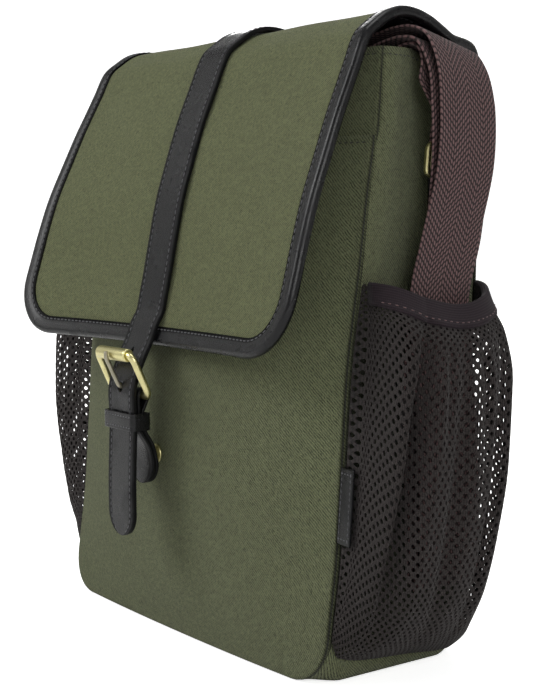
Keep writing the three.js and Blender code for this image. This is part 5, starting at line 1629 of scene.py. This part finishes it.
def sewn_end(side):
    """The strap's end round its ring, from the short layer to the long one."""

    def key(out, z):
        return (side * (BAR_X + out), RING_ACROSS, z, 0.0, SEWN_WIDTH)

    keys = [
        key(SEWN_RADIUS - WEBBING_THICK - 0.9, BAR_Z + SEWN_LENGTH),
        key(-SEWN_RADIUS * 0.3, BAR_Z + SEWN_LENGTH * 0.55),
        key(-SEWN_RADIUS, BAR_Z + SEWN_RADIUS * 0.6),
    ]
    for a in math.pi + np.arange(7) / 6 * math.pi:
        keys.append(key(SEWN_RADIUS * math.cos(a), BAR_Z + SEWN_RADIUS * math.sin(a)))
    return keys + [key(SEWN_RADIUS + 0.2, BAR_Z + SEWN_LENGTH * 0.55)]


def strap_route():
    """The whole strap's path with its roll and width at each point."""
    runs = LOWER_RUN + MOUTH_TURN + MIDDLE_RUN + INNER_FALL + POCKET_TURN + OUTER_RISE + UPPER_RUN
    keys = sewn_end(1) + [route_key(row, 1, -1) for row in OVER_HEM] + [route_key(row, 1) for row in runs]
    keys += [route_key(row, -1, -1) for row in OVER_HEM[::-1]] + sewn_end(-1)[::-1]
    keys = np.array(keys)
    path, where = smooth_path(keys[:, :3], 10)
    roll, width = (np.interp(where, np.arange(len(keys)), keys[:, k]) for k in (3, 4))
    return path, roll, width


def build_webbing():
    path, roll, width = strap_route()
    step = np.gradient(path, axis=0)
    run = np.hypot(step[:, 0], step[:, 2])
    flat = np.stack([-step[:, 2] / run, 0 * run, step[:, 0] / run], axis=1)
    roll = roll[:, None]
    across = -FRONT * np.cos(roll) - flat * np.sin(roll)
    face = flat * np.cos(roll) - FRONT * np.sin(roll)
    section = slab_section(WEBBING, WEBBING_THICK, 0.6, flats=25)
    section[:, 1] *= 1 - 0.12 * (np.abs(section[:, 0]) / (WEBBING / 2)) ** 6
    around = np.append(section[:, 0], section[0, 0])
    shape = swept(path, across, face, section, widths=width / WEBBING, around=around)
    strap = shape.make("shoulder_strap_webbing", [finish("webbing_plum")])
    place(strap, ["shoulder_strap"], "webbing")
    print("shoulder strap length, mm:", round(float(lengths_along(path)[-1])))
    lines = []
    y = RING_ACROSS + (SEWN_WIDTH / 2 - 2) * np.linspace(-1, 1, 8)
    for side, _ in SIDES:
        for level in (BAR_Z + 7, BAR_Z + 15):
            line = np.stack([0 * y + side * (BAR_X + SEWN_RADIUS + 0.9), y, 0 * y + level], axis=1)
            lines.append((line, side * RIGHT))
    sew("webbing_stitches", lines, "thread_plum", "webbing")


# Stage

LIT_POINT = (0, 0, 0.15)
# the photo's camera, in metres: its right, up and back directions and its place
CAMERA_AXES = ((0.5949, 0.8038, -0.0059), (-0.0737, 0.0619, 0.9954), (0.8004, -0.5917, 0.0961))
CAMERA_SPOT = (0.6209, -0.4424, 0.2233)


def turned_to(right, up, back, spot):
    """The matrix of a lamp or camera from its three directions and its place."""
    return Matrix([[right[k], up[k], back[k], spot[k]] for k in range(3)] + [[0, 0, 0, 1]])


def build_stage():
    stage = bpy.context.scene.bag_stage
    level, flat, bend, top = -0.4, 2600, 900, 2600
    profile = [(radius, level) for radius in (0.001, 400, 900, 1800, flat)]
    for a in np.linspace(0, np.pi / 2, 12)[1:]:
        profile.append((flat + bend * math.sin(a), level + bend * (1 - math.cos(a))))
    shape = lathed(profile + [(flat + bend, top)], 96)
    floor = shape.make("studio_floor", [stage_material(tuple(stage.paper))], False, RIGHT, merge=1.5 * MM)
    floor.data.transform(Matrix.Rotation(-math.pi / 2, 4, "Y"))
    facing = sum((p.normal.z * p.area for p in floor.data.polygons), 0.0)
    if facing < 0:
        floor.data.flip_normals()
    world = bpy.data.worlds.new("studio")
    world.use_nodes = True
    world.node_tree.nodes["Background"].inputs["Color"].default_value = (1, 1, 1, 1)
    world.node_tree.nodes["Background"].inputs["Strength"].default_value = stage.fill
    bpy.context.scene.world = world
    bpy.context.scene.view_settings.view_transform = "Standard"
    lamps = (
        ("key_light", (-0.9, -1.7, 1.5), 1.4, stage.key),
        ("side_light", (1.7, -0.6, 0.9), 1.0, stage.key * 0.45),
        ("top_light", (0.2, 0.2, 2.2), 1.2, stage.key * 0.4),
        ("rim_light", (-1.5, 1.3, 1.1), 0.9, stage.key * 0.6),
    )
    for name, spot, size, power in lamps:
        lamp = bpy.data.lights.new(name, "AREA")
        lamp.shape, lamp.size, lamp.energy = "DISK", size, power
        obj = add_object(name, lamp)
        back = unit(np.array(spot) - np.array(LIT_POINT))
        side = unit(np.cross((0, 0, 1.0), back))
        obj.matrix_world = turned_to(side, np.cross(back, side), back, spot)
        obj.visible_camera = False
    camera = bpy.data.cameras.new("camera")
    camera.lens, camera.sensor_width, camera.clip_start, camera.clip_end = 72.54, 36.0, 0.02, 30.0
    seat = add_object("camera", camera)
    seat.matrix_world = turned_to(*CAMERA_AXES, CAMERA_SPOT)
    bpy.context.scene.camera = seat


# Add-on


def colour_property(name, description, levels):
    return bpy.props.FloatVectorProperty(
        name=name, description=description, subtype="COLOR", size=4, min=0, max=1, default=linear(*levels)
    )


def length_property(name, description, millimetres):
    kind = {"unit": "LENGTH", "subtype": "DISTANCE", "precision": 5}
    return bpy.props.FloatProperty(name=name, description=description, default=millimetres * MM, **kind)


class BagColours(bpy.types.PropertyGroup):
    body: colour_property("Body canvas", "Colour of the body's twill canvas", (85, 89, 65))
    flap: colour_property("Flap canvas", "Colour of the flap's twill canvas", (87, 91, 63))
    lining: colour_property("Lining", "Colour of the flap's underside", (24, 22, 23))
    leather: colour_property("Leather", "Colour of the binding, straps and tabs", (11, 11, 13))
    net: colour_property("Net", "Colour of the side pockets' net", (46, 41, 40))
    elastic: colour_property("Elastic", "Colour of the pockets' elastic rims", (40, 31, 36))
    webbing: colour_property("Webbing", "Colour of the shoulder strap", (88, 66, 66))
    thread: colour_property("Thread", "Colour of the stitches in the leather", (78, 78, 82))
    brass: colour_property("Brass", "Colour of the buckle, rings and snap", (238, 229, 170))
    prong: colour_property("Prong", "Colour of the buckle's prong", (176, 170, 150))


class BagStitching(bpy.types.PropertyGroup):
    pitch: length_property("Stitch pitch", "Distance from stitch to stitch", 3.3)
    length: length_property("Stitch length", "Length of the thread that shows in a stitch", 2.5)
    radius: length_property("Thread radius", "Half the thickness of the thread", 0.38)


class BagNet(bpy.types.PropertyGroup):
    pitch_across: length_property("Hole pitch across", "Distance between holes in a row", 5.6)
    pitch_up: length_property("Hole pitch up", "Distance between every second row of holes", 5.4)
    cord: length_property("Cord thickness", "Thickness of the net", 0.7)
    hole_share: bpy.props.FloatProperty(
        name="Hole share", description="Size of a hole as a share of its cell", default=0.7, min=0.1, max=0.9
    )


class BagStage(bpy.types.PropertyGroup):
    paper: colour_property("Paper", "Colour of the studio floor", (244, 244, 243))
    key: bpy.props.FloatProperty(
        name="Key light", description="Power of the main lamp", unit="POWER", default=26.0
    )
    fill: bpy.props.FloatProperty(
        name="Fill", description="Strength of the light from all round", default=0.18
    )


class PieceOperator:
    """Runs a group's builders in order"""

    builders = ()

    def execute(self, context):
        for build in self.builders:
            build()
        return {"FINISHED"}


class BAG_OT_body(PieceOperator, bpy.types.Operator):
    """Make the canvas body with its slip pocket, side wall, back and hem stitches"""

    bl_idname = "bag.body"
    bl_label = "Body"
    builders = (build_body, build_label)


class BAG_OT_flap(PieceOperator, bpy.types.Operator):
    """Make the canvas flap with its lining and leather binding"""

    bl_idname = "bag.flap"
    bl_label = "Flap"
    builders = (build_flap,)


class BAG_OT_fastening(PieceOperator, bpy.types.Operator):
    """Make the front strap, its buckle and keeper, and the snap tab"""

    bl_idname = "bag.fastening"
    bl_label = "Fastening"
    builders = (build_front_strap, build_buckle, build_snap)


class BAG_OT_net_pockets(PieceOperator, bpy.types.Operator):
    """Make the two net pockets with their elastic rims"""

    bl_idname = "bag.net_pockets"
    bl_label = "Net Pockets"
    builders = (build_net_pockets,)


class BAG_OT_shoulder_strap(PieceOperator, bpy.types.Operator):
    """Make the webbing shoulder strap with its rings and leather tabs"""

    bl_idname = "bag.shoulder_strap"
    bl_label = "Shoulder Strap"
    builders = (build_fittings, build_webbing)


class BAG_OT_stage(PieceOperator, bpy.types.Operator):
    """Make the pale floor, the soft lights and the camera"""

    bl_idname = "bag.stage"
    bl_label = "Stage"
    builders = (build_stage,)


OPERATORS = (
    BAG_OT_body,
    BAG_OT_flap,
    BAG_OT_fastening,
    BAG_OT_net_pockets,
    BAG_OT_shoulder_strap,
    BAG_OT_stage,
)
GROUPS = (
    ("bag_colours", BagColours),
    ("bag_stitching", BagStitching),
    ("bag_net", BagNet),
    ("bag_stage", BagStage),
)


class BAG_PT_panel(bpy.types.Panel):
    """Sizes, colours and pieces of the training bag"""

    bl_idname = "BAG_PT_panel"
    bl_label = "Training Bag"
    bl_space_type = "VIEW_3D"
    bl_region_type = "UI"
    bl_category = "Training Bag"

    def draw(self, context):
        for name, group in GROUPS:
            box = self.layout.box()
            for prop in group.__annotations__:
                box.prop(getattr(context.scene, name), prop)
        for kind in OPERATORS:
            self.layout.operator(kind.bl_idname)


def register():
    for name, group in GROUPS:
        bpy.utils.register_class(group)
        setattr(bpy.types.Scene, name, bpy.props.PointerProperty(type=group))
    for kind in (*OPERATORS, BAG_PT_panel):
        bpy.utils.register_class(kind)


def unregister():
    for kind in (BAG_PT_panel, *OPERATORS[::-1]):
        bpy.utils.unregister_class(kind)
    for name, group in GROUPS[::-1]:
        delattr(bpy.types.Scene, name)
        bpy.utils.unregister_class(group)


def main():
    register()
    for kind in OPERATORS:
        family, action = kind.bl_idname.split(".")
        getattr(getattr(bpy.ops, family), action)()


if __name__ == "__main__":
    main()
